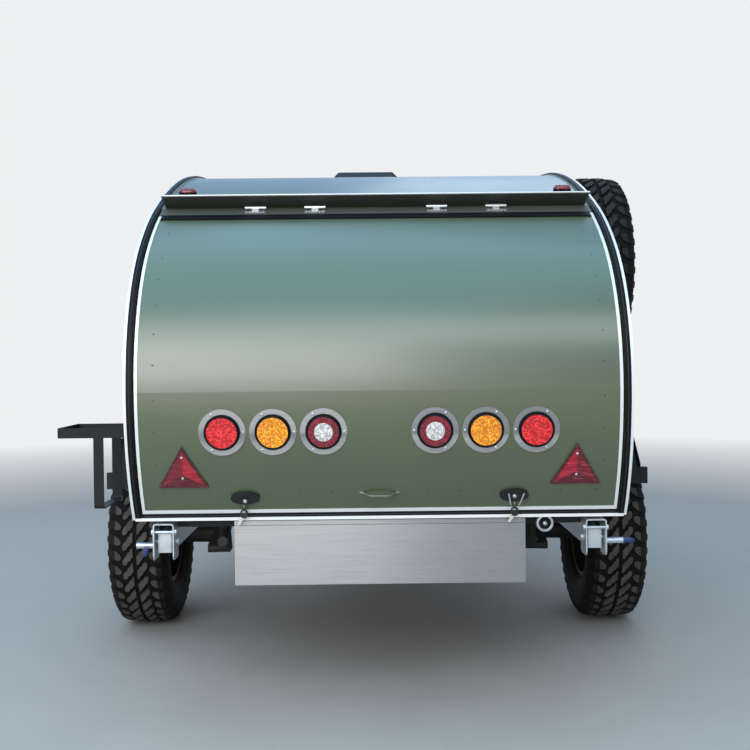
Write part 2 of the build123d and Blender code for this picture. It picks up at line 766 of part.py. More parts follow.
with BuildPart() as seal_line:
    with BuildSketch(Plane.YZ.offset(-HATCH_HALF + HATCH_TRIM_SIDE + 1)):
        band(TRIM_LOW + RAIL_SHEET + 1, TRIM_LOW, heading_at(SEAL_START),
             heading_at(RAIL_START - 1))
    extrude(amount=2 * (HATCH_HALF - HATCH_TRIM_SIDE - 1))
save(seal_line, "hatch_seal_line")

# Hatch hinges. In each section x runs forward along the skin and y outwards, from the axis.
RAIL_TOP = TRIM_LOW + RAIL_SHEET + CLEAR - HINGE_PROUD
ROOF_TOP = CLEAR - ROOF_DROP - HINGE_PROUD
HINGE_THIRD = HINGE_WIDTH / 3
SEAM = HATCH_TOP - HINGE_AT
LEAF_END = VISOR_ROOT - HINGE_AT - LEAF_SHORT
with BuildPart() as hinge_leaves:
    for x in HINGE_X:
        for base in (x - HINGE_WIDTH / 2, x + HINGE_WIDTH / 2 - HINGE_THIRD):
            with BuildSketch(section_plane(base, HINGE_HEADING, HINGE_PROUD)):
                Circle(BARREL_RADIUS)
                with BuildLine():
                    Polyline(
                        (0, -BARREL_RADIUS), (SEAM, -BARREL_RADIUS - 0.5),
                        (SEAM + GAP, ROOF_TOP), (LEAF_END, ROOF_TOP - LEAF_DIG),
                        (LEAF_END, ROOF_TOP + LEAF), (SEAM + GAP + 2, ROOF_TOP + LEAF),
                        (SEAM + 2, LEAF - BARREL_RADIUS), (0, LEAF - BARREL_RADIUS), close=True)
                make_face()
            extrude(amount=HINGE_THIRD)
        with BuildSketch(section_plane(x - HINGE_WIDTH / 2, HINGE_HEADING, HINGE_PROUD)):
            Circle(PIN_RADIUS)
        extrude(amount=HINGE_WIDTH)
save(hinge_leaves, "hatch_hinge_posts")

with BuildPart() as hatch_leaves:
    for x in HINGE_X:
        with BuildSketch(section_plane(x - HINGE_THIRD / 2 + CLEAR, HINGE_HEADING, HINGE_PROUD)):
            Circle(BARREL_RADIUS)
            with Locations((0, RAIL_TOP)):
                Rectangle(BARREL_RADIUS, -RAIL_TOP, align=(Align.CENTER, Align.MIN))
                Rectangle(LEAF_REACH, LEAF, align=(Align.MAX, Align.MIN))
            Circle(PIN_RADIUS + PIN_CLEAR, mode=Mode.SUBTRACT)
        extrude(amount=HINGE_THIRD - 2 * CLEAR)
save(hatch_leaves, "hatch_hinge_leaves")

# Lamps: steel flange, dark gasket and lens, six times
with BuildPart() as flanges:
    for x, kind in LAMPS:
        for place in (-x, x):
            with BuildSketch(surface_plane(place, LAMP_HEADING, CLEAR - HATCH_DROP)):
                Circle(FLANGE_RADIUS)
                Circle(GASKET_RADIUS + CLEAR, mode=Mode.SUBTRACT)
            extrude(amount=FLANGE_THICK)
save(flanges, "lamp_flanges")

with BuildPart() as gaskets:
    for x, kind in LAMPS:
        for place in (-x, x):
            with BuildSketch(surface_plane(place, LAMP_HEADING, CLEAR - HATCH_DROP)):
                Circle(GASKET_RADIUS)
                Circle(LENS_RADIUS + CLEAR, mode=Mode.SUBTRACT)
            extrude(amount=GASKET_HEIGHT)
save(gaskets, "lamp_gaskets")

LENS_NODES = [("red", "lamp_lenses_red"), ("amber", "lamp_lenses_amber"),
              ("reverse", "lamp_lenses_clear")]
for wanted, node in LENS_NODES:
    with BuildPart() as lenses:
        for x, kind in LAMPS:
            for place in (-x, x):
                lens_plane = surface_plane(place, LAMP_HEADING, CLEAR - HATCH_DROP)
                if kind == wanted == "reverse":
                    with BuildSketch(lens_plane):
                        Circle(REVERSE_RADIUS - CLEAR)
                    extrude(amount=LENS_HEIGHT)
                elif kind == wanted or (kind == "reverse" and wanted == "red"):
                    with BuildSketch(lens_plane):
                        Circle(LENS_RADIUS)
                        if kind == "reverse":
                            Circle(REVERSE_RADIUS, mode=Mode.SUBTRACT)
                    extrude(amount=LENS_HEIGHT)
        rims = lenses.edges().filter_by(GeomType.CIRCLE).filter_by(
            lambda e: abs(e.radius - LENS_RADIUS) < 0.1)
        if rims:
            fillet(rims.filter_by(lambda e: e.center().Y < on_outline(LAMP_HEADING)[0] - 5),
                   LENS_ROUND)
    save(lenses, node)

# Triangular reflectors
with BuildPart() as triangles:
    heading = heading_at_height(TRIANGLE_Z)
    for x in (-TRIANGLE_X, TRIANGLE_X):
        with BuildSketch(surface_plane(x, heading, CLEAR - HATCH_DROP)):
            RegularPolygon(TRIANGLE_SIDE / 3 ** 0.5, 3, rotation=90)
        extrude(amount=TRIANGLE_HEIGHT)
save(triangles, "reflector_triangles")

# Oval latches with a lock, and the bow handle
with BuildPart() as latches:
    heading = heading_at_height(LATCH_Z)
    for x in (-LATCH_X, LATCH_X):
        with BuildSketch(surface_plane(x, heading, CLEAR - HATCH_DROP)):
            Ellipse(LATCH_LONG / 2, LATCH_TALL / 2)
        extrude(amount=LATCH_HEIGHT)
        with BuildSketch(surface_plane(x, heading, CLEAR - HATCH_DROP)):
            Circle(LOCK_RADIUS)
        extrude(amount=LATCH_HEIGHT + LOCK_PROUD)
save(latches, "hatch_latches")

with BuildPart() as handle:
    heading = heading_at_height(HANDLE_Z)
    foot = surface_plane(0, heading, CLEAR - HATCH_DROP)
    bow = Plane(origin=foot.origin, x_dir=foot.x_dir, z_dir=-foot.y_dir)
    with BuildLine(bow) as bow_path:
        FilletPolyline(
            (-HANDLE_HALF, 0), (-HANDLE_HALF, HANDLE_PROUD), (HANDLE_HALF, HANDLE_PROUD),
            (HANDLE_HALF, 0), radius=HANDLE_BEND)
    with BuildSketch(Plane(origin=bow_path.line @ 0, z_dir=bow_path.line % 0)):
        Circle(HANDLE_RADIUS)
    sweep()
save(handle, "hatch_handle")

# Tyres, the same section for both wheels and the spare
BEAD_TOP = BEAD_RADIUS + BEAD_TALL


def tyre_at(plane):
    """Revolve one tyre about the plane's x axis, its middle at the plane's origin."""
    half = TYRE_WIDTH / 2
    tread = TREAD_WIDTH / 2
    shoulder = (tread + SHOULDER_WIDER, TYRE_RADIUS - SHOULDER_DROP)
    edge = (tread - TREAD_EDGE, TYRE_RADIUS - TREAD_EDGE)
    with BuildSketch(plane) as section:
        with BuildLine():
            Polyline((0, BEAD_RADIUS + CLEAR), (BEAD_HALF, BEAD_RADIUS + CLEAR),
                     (BEAD_HALF, BEAD_TOP))
            ThreePointArc((BEAD_HALF, BEAD_TOP), (half, TYRE_RADIUS - SIDEWALL_DROP), shoulder)
            Line(shoulder, edge)
            ThreePointArc(edge, (tread / 2, TYRE_RADIUS - TREAD_CROWN), (0, TYRE_RADIUS))
            Line((0, TYRE_RADIUS), (0, BEAD_RADIUS + CLEAR))
        make_face()
        mirror(about=Plane.YZ)
    revolve(section.sketch, axis=Axis(plane.origin, plane.x_dir))


def rim_at(plane, outward):
    """Revolve one rim and cut its windows; the disc lies to the outward side."""
    with BuildSketch(plane) as section:
        with BuildLine():
            lip = BEAD_HALF + RIM_LIP
            seat = BEAD_HALF + 1
            Polyline(
                (-lip, BEAD_RADIUS - RIM_BARREL), (-lip, BEAD_TOP), (-seat, BEAD_TOP),
                (-seat, BEAD_RADIUS), (seat, BEAD_RADIUS), (seat, BEAD_TOP), (lip, BEAD_TOP),
                (lip, BEAD_RADIUS - RIM_BARREL), close=True)
        make_face()
        with BuildLine():
            Polyline(
                (outward * DISC_AT, SPINDLE + PIN_CLEAR),
                (outward * DISC_AT, BEAD_RADIUS - RIM_BARREL / 2),
                (outward * (DISC_AT + DISC_THICK), BEAD_RADIUS - RIM_BARREL / 2),
                (outward * (DISC_AT + DISC_THICK), SPINDLE + PIN_CLEAR), close=True)
        make_face()
    revolve(section.sketch, axis=Axis(plane.origin, plane.x_dir))
    side = Plane(origin=plane.origin, x_dir=plane.y_dir, z_dir=plane.x_dir * outward)
    with BuildSketch(side.offset(DISC_AT - 1)) as holes:
        with PolarLocations(WINDOW_RING, WINDOWS):
            Circle(WINDOW_RADIUS)
    extrude(holes.sketch, amount=DISC_THICK + 2, mode=Mode.SUBTRACT)


def wheel_plane(x, y, z):
    """Plane whose x is the wheel's axis and whose y points up."""
    return Plane(origin=(x, y, z), x_dir=(1, 0, 0), z_dir=(0, -1, 0))


for side, sign in SIDES:
    place = wheel_plane(sign * WHEEL_X, fore(AXLE_AT), TYRE_RADIUS)
    with BuildPart() as tyre:
        tyre_at(place)
    save(tyre, f"tyre_{side}")

    with BuildPart() as rim:
        rim_at(place, sign)
    save(rim, f"rim_{side}")

    # Brake drum and hub, bored for the stub axle
    drum_start = sign * (WHEEL_X - DRUM_INSIDE)
    with BuildPart() as hub:
        with BuildSketch(Plane.YZ.offset(drum_start)):
            with Locations((fore(AXLE_AT), TYRE_RADIUS)):
                Circle(DRUM_RADIUS)
                Circle(SPINDLE + PIN_CLEAR, mode=Mode.SUBTRACT)
        extrude(amount=sign * (DRUM_INSIDE + DISC_AT - CLEAR))
        with BuildSketch(Plane.YZ.offset(sign * (WHEEL_X + DISC_AT + DISC_THICK + CLEAR))):
            with Locations((fore(AXLE_AT), TYRE_RADIUS)):
                Circle(HUB_RADIUS)
        extrude(amount=sign * HUB_LONG, taper=HUB_TAPER)
    save(hub, f"hub_{side}")

# Spare wheel on the right wall, and its carrier
spare_place = wheel_plane(SPARE_X, fore(SPARE_AT), SPARE_Z)
with BuildPart() as spare:
    tyre_at(spare_place)
save(spare, "spare_tyre")

with BuildPart() as spare_rim:
    rim_at(spare_place, 1)
save(spare_rim, "spare_rim")

with BuildPart() as carrier:
    with BuildSketch(Plane.YZ.offset(BODY_HALF + CLEAR)):
        with Locations((fore(SPARE_AT), SPARE_Z)):
            RectangleRounded(CARRIER_PLATE, CARRIER_PLATE, CARRIER_ROUND)
    extrude(amount=CARRIER_SHEET)
    with BuildSketch(Plane.YZ.offset(BODY_HALF + CLEAR)):
        with Locations((fore(SPARE_AT), SPARE_Z)):
            Circle(HUB_RADIUS)
    extrude(amount=SPARE_X + DISC_AT - CLEAR - BODY_HALF - CLEAR)
    with BuildSketch(Plane.YZ.offset(SPARE_X + DISC_AT - CLEAR - CARRIER_DISC_THICK)):
        with Locations((fore(SPARE_AT), SPARE_Z)):
            Circle(CARRIER_DISC)
    extrude(amount=CARRIER_DISC_THICK)
save(carrier, "spare_carrier")

# Chassis: two rails, cross members and the ears that carry the trailing arms
with BuildPart() as chassis:
    with BuildSketch(Plane.XY.offset(BODY_BOTTOM - RAIL_TALL)):
        for x in (-RAIL_X, RAIL_X):
            with Locations((x, fore(FRAME_REAR))):
                Rectangle(RAIL_WIDE, FRAME_FRONT - FRAME_REAR, align=(Align.CENTER, Align.MIN))
        for y in CROSS_AT:
            with Locations((0, fore(y))):
                Rectangle(2 * RAIL_X + RAIL_WIDE, RAIL_WIDE)
    extrude(amount=RAIL_TALL)
    for x in (-RAIL_X, RAIL_X):
        for ear in (x - ARM_WIDE / 2 - EAR_SHEET - 1, x + ARM_WIDE / 2 + 1):
            with BuildSketch(Plane.YZ.offset(ear)):
                with BuildLine():
                    Polyline(
                        (fore(ARM_PIVOT_AT - EAR_REACH), BODY_BOTTOM - RAIL_TALL / 2),
                        (fore(ARM_PIVOT_AT - ARM_EYE), ARM_PIVOT_Z - ARM_EYE),
                        (fore(ARM_PIVOT_AT + ARM_EYE), ARM_PIVOT_Z - ARM_EYE),
                        (fore(ARM_PIVOT_AT + EAR_REACH), BODY_BOTTOM - RAIL_TALL / 2), close=True)
                make_face()
            extrude(amount=EAR_SHEET)
        with BuildSketch(Plane.YZ.offset(x - ARM_WIDE / 2 - EAR_SHEET - PIN_PROUD)):
            with Locations((fore(ARM_PIVOT_AT), ARM_PIVOT_Z)):
                Circle(ARM_PIN)
        extrude(amount=ARM_WIDE + 2 * (EAR_SHEET + PIN_PROUD))
save(chassis, "chassis_frame")

# Trailing arms with their stub axles, spring seats and eyes for the shock absorbers
with BuildPart() as arms:
    for sign in (-1, 1):
        with BuildSketch(Plane.XY.offset(SPRING_LOW - CLEAR - SEAT_SHEET)):
            with Locations((sign * RAIL_X, fore(SPRING_AT))):
                Circle(SPRING_RADIUS + SEAT_WIDER)
        extrude(amount=SEAT_SHEET)
        with BuildSketch(Plane.XY.offset(SPRING_LOW - SEAT_POST)):
            with Locations((sign * RAIL_X, fore(SPRING_AT))):
                Circle(ARM_WIDE / 2 - 1)
        extrude(amount=SEAT_POST - SEAT_SHEET / 2)
        with BuildSketch(Plane.YZ.offset(sign * RAIL_X - ARM_WIDE / 2)):
            with Locations((fore(ARM_PIVOT_AT), ARM_PIVOT_Z)):
                Circle(ARM_EYE)
            with Locations((fore(AXLE_AT), TYRE_RADIUS)):
                Circle(ARM_BOSS)
            with Locations((fore(ARM_TAIL_AT), ARM_TAIL_Z)):
                Circle(ARM_EYE / 2)
            make_hull()
            with Locations((fore(ARM_PIVOT_AT), ARM_PIVOT_Z)):
                Circle(ARM_PIN + CLEAR, mode=Mode.SUBTRACT)
        extrude(amount=ARM_WIDE)
        with BuildSketch(Plane.YZ.offset(sign * RAIL_X)):
            with Locations((fore(AXLE_AT), TYRE_RADIUS)):
                Circle(SPINDLE)
        extrude(amount=sign * (WHEEL_X + DISC_AT + DISC_THICK - 1 - RAIL_X))
        with BuildSketch(Plane.YZ.offset(sign * RAIL_X)):
            with Locations((fore(AXLE_AT), TYRE_RADIUS)):
                Circle(ARM_BOSS - GAP)
        extrude(amount=sign * (WHEEL_X - DRUM_INSIDE - GAP - RAIL_X))
save(arms, "trailing_arms")

# Springs between the arms and the rails
with BuildPart() as springs:
    for x in (-RAIL_X, RAIL_X):
        with BuildSketch(Plane.XY.offset(SPRING_LOW)):
            with Locations((x, fore(SPRING_AT))):
                Circle(SPRING_RADIUS)
        extrude(amount=BODY_BOTTOM - RAIL_TALL - CLEAR - SPRING_LOW)
save(springs, "coil_springs")

# Shock absorbers beside the arms' tails
with BuildPart() as shocks:
    top = (fore(SHOCK_TOP[0]), SHOCK_TOP[1])
    foot = (fore(ARM_TAIL_AT), ARM_TAIL_Z)
    lean = hypot(top[0] - foot[0], top[1] - foot[1])
    for x in (-SHOCK_X, SHOCK_X):
        up = (0, top[0] - foot[0], top[1] - foot[1])
        with BuildSketch(Plane(origin=(x, foot[0], foot[1]), x_dir=(1, 0, 0), z_dir=up)):
            Circle(SHOCK_RADIUS)
        extrude(amount=lean * SHOCK_BODY)
        with BuildSketch(Plane(origin=(x, foot[0], foot[1]), x_dir=(1, 0, 0), z_dir=up)):
            Circle(SHOCK_ROD)
        extrude(amount=lean)
        sign = 1 if x > 0 else -1
        for eye, seat in ((top, RAIL_X - RAIL_WIDE / 2), (foot, RAIL_X - ARM_WIDE / 2)):
            with BuildSketch(Plane.YZ.offset(x - sign * SHOCK_EYE)):
                with Locations(eye):
                    Circle(SHOCK_EYE)
            extrude(amount=sign * (seat - CLEAR - SHOCK_X + SHOCK_EYE))
save(shocks, "shock_absorbers")

# Drop leg brackets: bent channels on the rear cross member, with pivot pin, stop and plunger
with BuildPart() as brackets:
    with BuildSketch(Plane.XZ.offset(-fore(BRACKET_REAR))):
        with BuildLine():
            FilletPolyline(
                (LEG_X - BRACKET_WIDE / 2, BRACKET_LOW), (LEG_X - BRACKET_WIDE / 2, BRACKET_TOP),
                (LEG_X + BRACKET_WIDE / 2, BRACKET_TOP), (LEG_X + BRACKET_WIDE / 2, BRACKET_LOW),
                radius=BRACKET_BEND)
            offset(amount=BRACKET_SHEET, side=Side.RIGHT)
        make_face()
    extrude(amount=BRACKET_REAR - FRAME_REAR)
    fillet(brackets.edges().filter_by(Axis.X).group_by(Axis.Z)[0], BRACKET_ROUND)
    # Columns: distance from the bulge, height, radius, how far it stands out of the cheeks
    for at, z, radius, proud in (
        (LEG_PIVOT_AT, LEG_PIVOT_Z, LEG_PIN, PIN_PROUD),
        (STOP_AT, STOP_Z, STOP_RADIUS, PIN_PROUD),
    ):
        with BuildSketch(Plane.YZ.offset(LEG_X - BRACKET_WIDE / 2 - proud)):
            with Locations((fore(at), z)):
                Circle(radius)
        extrude(amount=BRACKET_WIDE + 2 * proud)
    with BuildSketch(Plane.YZ.offset(LEG_X + BRACKET_WIDE / 2)):
        with Locations((fore(PLUNGER_AT), PLUNGER_Z)):
            Circle(PLUNGER_RADIUS)
    extrude(amount=PLUNGER_OUT)
    mirror(about=Plane.YZ)
save(brackets, "leg_brackets")

# Drop legs: square tubes with a foot, bored for the pivot pin
for side, sign in SIDES:
    with BuildPart() as leg:
        tube = Plane(origin=(sign * LEG_X, fore(LEG_PIVOT_AT - LEG_TAIL), LEG_PIVOT_Z),
                     x_dir=(1, 0, 0), z_dir=(0, 1, 0))
        with BuildSketch(tube):
            Rectangle(LEG_WIDE, LEG_TALL)
            Rectangle(LEG_WIDE - 2 * LEG_SHEET, LEG_TALL - 2 * LEG_SHEET, mode=Mode.SUBTRACT)
        extrude(amount=LEG_LENGTH + LEG_TAIL - LEG_FOOT_THICK)
        with BuildSketch(tube.offset(LEG_LENGTH + LEG_TAIL - LEG_FOOT_THICK)):
            Rectangle(LEG_FOOT, LEG_TALL)
        extrude(amount=LEG_FOOT_THICK)
        with BuildSketch(Plane.YZ.offset(sign * LEG_X - LEG_WIDE)):
            with Locations((fore(LEG_PIVOT_AT), LEG_PIVOT_Z)):
                Circle(LEG_PIN + PIN_CLEAR)
        extrude(amount=2 * LEG_WIDE, mode=Mode.SUBTRACT)
    save(leg, f"leg_{side}")

# Water tank in its guard, hung under the cross members, with a step up ahead of the first
with BuildPart() as tank:
    with BuildSketch(Plane.XY.offset(TANK_LOW)):
        with Locations((0, fore(TANK_REAR))):
            Rectangle(2 * TANK_HALF, TANK_LONG, align=(Align.CENTER, Align.MIN))
    extrude(amount=BODY_BOTTOM - RAIL_TALL - CLEAR - TANK_LOW)
    with BuildSketch(Plane.XY.offset(BODY_BOTTOM - RAIL_TALL - CLEAR)):
        with Locations((0, fore(TANK_REAR))):
            Rectangle(2 * TANK_HALF, CROSS_AT[0] - RAIL_WIDE / 2 - TANK_REAR - CLEAR,
                      align=(Align.CENTER, Align.MIN))
    extrude(amount=RAIL_TALL - TANK_TOP_GAP)
save(tank, "water_tank")

# Drain pipe beside the tank
with BuildPart() as drain:
    with BuildSketch(Plane.XZ.offset(-fore(FRAME_REAR - CLEAR))):
        with Locations((DRAIN_X, DRAIN_Z)):
            Circle(DRAIN_RADIUS)
    extrude(amount=DRAIN_LONG)
save(drain, "drain_fitting")

# Fenders: a bent sheet from wall to rim with a skirt at its outer edge
fender_in = BODY_HALF + TRIM_SHEET + CLEAR
with BuildPart() as fenders:
    with BuildSketch(Plane.YZ.offset(fender_in)):
        with BuildLine():
            Polyline(*[(fore(y), z) for y, z in FENDER_PATH])
            offset(amount=FENDER_SHEET, side=Side.LEFT)
        make_face()
    extrude(amount=FENDER_OUT - fender_in)
    with BuildSketch(Plane.YZ.offset(FENDER_OUT - FENDER_SHEET)):
        with BuildLine():
            Polyline(*[(fore(y), z) for y, z in FENDER_PATH])
            offset(amount=-FENDER_SKIRT, side=Side.LEFT)
        make_face()
    extrude(amount=FENDER_SHEET)
    foot_y, foot_z = FENDER_PATH[1]
    with BuildSketch(Plane.XY.offset(foot_z)):
        with Locations((FLAP_IN, fore(foot_y))):
            Rectangle(FLAP_OUT - FLAP_IN, FLAP_THICK, align=(Align.MIN, Align.MAX))
    extrude(amount=-FLAP_TALL)
    mirror(about=Plane.YZ)
save(fenders, "fenders")

# Jerry can holder on the left wall: a hoop of flat bar and a strap under it
with BuildPart() as can:
    can_in = BODY_HALF + CLEAR
    can_middle = (can_in + CAN_OUT) / 2
    with BuildSketch(Plane.XY.offset(CAN_TOP - CAN_BAR)):
        with Locations((-can_middle, fore((CAN_REAR + CAN_FRONT) / 2))):
            RectangleRounded(CAN_OUT - can_in, CAN_FRONT - CAN_REAR, CAN_ROUND)
            RectangleRounded(
                CAN_OUT - can_in - 2 * CAN_SHEET, CAN_FRONT - CAN_REAR - 2 * CAN_SHEET,
                CAN_ROUND - CAN_SHEET, mode=Mode.SUBTRACT)
    extrude(amount=CAN_BAR)
    with BuildSketch(Plane.YZ.offset(-CAN_STRAP_X - CAN_BAR / 2)):
        with BuildLine():
            FilletPolyline(
                (fore(CAN_REAR + CAN_SHEET / 2), CAN_TOP - CAN_BAR / 2),
                (fore(CAN_REAR + CAN_SHEET / 2), CAN_LOW), (fore(CAN_FRONT - CAN_SHEET / 2), CAN_LOW),
                (fore(CAN_FRONT - CAN_SHEET / 2), CAN_TOP - CAN_BAR / 2), radius=CAN_STRAP_ROUND)
            offset(amount=CAN_SHEET, side=Side.LEFT)
        make_face()
    extrude(amount=CAN_BAR)
save(can, "jerry_can_holder")

# Drawbar: two rails that meet at the coupling, with a plate for the jack
with BuildPart() as drawbar:
    drawbar_low = BODY_BOTTOM - RAIL_TALL - DRAWBAR_TALL
    with BuildSketch(Plane.XY.offset(drawbar_low)):
        for sign in (-1, 1):
            with BuildLine():
                inner = sign * (DRAWBAR_ROOT_X - DRAWBAR_WIDE)
                Polyline(
                    (sign * DRAWBAR_ROOT_X, fore(DRAWBAR_ROOT)), (inner, fore(DRAWBAR_ROOT)),
                    (0, fore(DRAWBAR_END) - DRAWBAR_WIDE), (0, fore(DRAWBAR_END)),
                    (sign * DRAWBAR_END_X, fore(DRAWBAR_END)), close=True)
            make_face()
    extrude(amount=DRAWBAR_TALL)
    with BuildSketch(Plane.XY.offset(drawbar_low + DRAWBAR_TALL - JACK_PLATE)):
        with Locations((0, fore(JACK_AT))):
            Rectangle(JACK_PLATE_WIDE, JACK_PLATE_LONG)
            Circle(JACK_SLEEVE + CLEAR, mode=Mode.SUBTRACT)
    extrude(amount=JACK_PLATE)
save(drawbar, "drawbar")

# Ball coupling with a socket that is open below, and its lever on top
coupling_low = drawbar_low
with BuildPart() as coupling:
    with BuildSketch(Plane.XY.offset(coupling_low)):
        with Locations((0, fore(COUPLING_AT))):
            Circle(COUPLING_HEAD)
        with Locations((0, fore(DRAWBAR_END) + CLEAR)):
            Rectangle(2 * DRAWBAR_END_X, COUPLING_BACK, align=(Align.CENTER, Align.MIN))
        make_hull()
    extrude(amount=COUPLING_TALL)
    fillet(coupling.faces().sort_by(Axis.Z)[-1].edges(), COUPLING_ROUND)
    with BuildSketch(Plane.YZ):
        with BuildLine():
            Polyline(*[(fore(COUPLING_AT - back), coupling_low + COUPLING_TALL + height)
                       for back, height in LEVER_PATH])
            offset(amount=LEVER_SHEET, side=Side.RIGHT)
        make_face()
    extrude(amount=LEVER_WIDE / 2, both=True)
    with BuildSketch(Plane.XY.offset(coupling_low)):
        with Locations((0, fore(COUPLING_AT))):
            Circle(BALL_RADIUS + BALL_CLEAR)
    extrude(amount=BALL_DEPTH, mode=Mode.SUBTRACT)
save(coupling, "ball_coupling")

# Jack: sleeve on the drawbar, tube that slides in it, fork that swivels, jockey wheel
with BuildPart() as sleeve:
    with BuildSketch(Plane.XY.offset(JACK_LOW)):
        with Locations((0, fore(JACK_AT))):
            Circle(JACK_SLEEVE)
            Circle(JACK_TUBE + CLEAR, mode=Mode.SUBTRACT)
    extrude(amount=JACK_TOP - JACK_LOW)
    with BuildSketch(Plane.XY.offset(JACK_TOP)):
        with Locations((0, fore(JACK_AT))):
            Circle(JACK_SLEEVE)
    extrude(amount=JACK_CAP)
    with BuildSketch(Plane.XZ.offset(-fore(JACK_AT))):
        with BuildLine():
            FilletPolyline(
                (0, JACK_TOP + JACK_CAP - 1), (0, JACK_TOP + CRANK_RISE),
                (CRANK_REACH, JACK_TOP + CRANK_RISE), (CRANK_REACH, JACK_TOP + CRANK_GRIP),
                radius=CRANK_BEND)
            offset(amount=CRANK_BAR, side=Side.LEFT)
        make_face()
    extrude(amount=CRANK_BAR / 2, both=True)
save(sleeve, "jack_sleeve")

with BuildPart() as jack_tube:
    with BuildSketch(Plane.XY.offset(TUBE_END)):
        with Locations((0, fore(JACK_AT))):
            Circle(JACK_TUBE)
    extrude(amount=JACK_TOP - TUBE_SHORT - TUBE_END)
save(jack_tube, "jack_tube")

WHEEL_AT = fore(JACK_AT - JOCKEY_TRAIL)
with BuildPart() as fork:
    with BuildSketch(Plane.XY.offset(FORK_TOP)):
        with Locations((0, fore(JACK_AT))):
            Circle(JACK_TUBE + FORK_WIDER)
        with Locations((0, WHEEL_AT)):
            Rectangle(JOCKEY_WIDE + 2 * (GAP + FORK_SHEET), FORK_LONG)
        make_hull()
    extrude(amount=TUBE_END - CLEAR - FORK_TOP)
    for x in (-JOCKEY_WIDE / 2 - GAP - FORK_SHEET, JOCKEY_WIDE / 2 + GAP):
        with BuildSketch(Plane.YZ.offset(x)):
            with Locations((WHEEL_AT, JOCKEY_RADIUS)):
                Circle(FORK_EYE)
            with Locations((WHEEL_AT, FORK_TOP)):
                Rectangle(FORK_LONG, FORK_STEP, align=(Align.CENTER, Align.MIN))
            make_hull()
        extrude(amount=FORK_SHEET)
    with BuildSketch(Plane.YZ.offset(-JOCKEY_WIDE / 2 - GAP - FORK_SHEET - FORK_STEP)):
        with Locations((WHEEL_AT, JOCKEY_RADIUS)):
            Circle(JOCKEY_PIN)
    extrude(amount=JOCKEY_WIDE + 2 * (GAP + FORK_SHEET + FORK_STEP))
save(fork, "jockey_fork")

with BuildPart() as jockey:
    with BuildSketch(Plane.YZ.offset(-JOCKEY_WIDE / 2)):
        with Locations((WHEEL_AT, JOCKEY_RADIUS)):
            Circle(JOCKEY_RADIUS)
            Circle(JOCKEY_PIN + PIN_CLEAR, mode=Mode.SUBTRACT)
    extrude(amount=JOCKEY_WIDE)
    chamfer(jockey.edges().filter_by(lambda e: e.geom_type == GeomType.CIRCLE
                                     and abs(e.radius - JOCKEY_RADIUS) < 0.1), JOCKEY_BEVEL)
save(jockey, "jockey_wheel")

# Toolbox ahead of the nose, with its lid hinged at the rear
box_low = BODY_BOTTOM - RAIL_TALL
LID_LOW = box_low + BOX_HIGH + CLEAR
BOX_AXIS = (fore(BOX_REAR) - BOX_BARREL - 1, LID_LOW)
with BuildPart() as box:
    with BuildSketch(Plane.XY.offset(box_low)):
        with Locations((0, fore(BOX_REAR))):
            Rectangle(2 * BOX_HALF, BOX_LONG, align=(Align.CENTER, Align.MIN))
    extrude(amount=BOX_HIGH)
    with BuildSketch(Plane.XY.offset(box_low + BOX_SHEET)):
        with Locations((0, fore(BOX_REAR) + BOX_SHEET)):
            Rectangle(2 * (BOX_HALF - BOX_SHEET), BOX_LONG - 2 * BOX_SHEET,
                      align=(Align.CENTER, Align.MIN))
    extrude(amount=BOX_HIGH, mode=Mode.SUBTRACT)
    lid_knuckles(0, BOX_HINGE_X, BOX_HINGE_WIDTH, BOX_AXIS, BOX_BARREL, 1)
save(box, "front_toolbox")

with BuildPart() as lid:
    with BuildSketch(Plane.XY.offset(LID_LOW - BOX_LIP)):
        with Locations((0, fore(BOX_REAR) + BOX_LID_BACK)):
            Rectangle(
                2 * (BOX_HALF + GAP + BOX_SHEET), BOX_LONG + GAP + BOX_SHEET - BOX_LID_BACK,
                align=(Align.CENTER, Align.MIN))
    extrude(amount=BOX_LIP + BOX_SHEET)
    with BuildSketch(Plane.XY.offset(LID_LOW - BOX_LIP)):
        with Locations((0, fore(BOX_REAR))):
            Rectangle(2 * (BOX_HALF + GAP), BOX_LONG + GAP, align=(Align.CENTER, Align.MIN))
    extrude(amount=BOX_LIP, mode=Mode.SUBTRACT)
    lid_barrels(0, BOX_HINGE_X, BOX_HINGE_WIDTH, BOX_AXIS, BOX_BARREL, 1)
save(lid, "toolbox_lid")
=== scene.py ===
# %% [markdown]
# # A teardrop trailer, dressed for its picture
#
# The solids of the trailer come in finished, in metres, each as one object with its place in its
# mesh. This script gives each of them a surface, adds what is too small or too fine for a solid,
# such as tread, springs, rivets and screws, and lights the whole for one picture from behind.
#
# Each step is a cell. A new piece is always made in the same three moves: numbers for its size,
# an array of points worked out at once, and one call that turns the array into a mesh.

# %% Load the trailer
import json
from math import cos, pi, radians, sin

import bmesh
import bpy
import numpy as np
from mathutils import Matrix, Vector


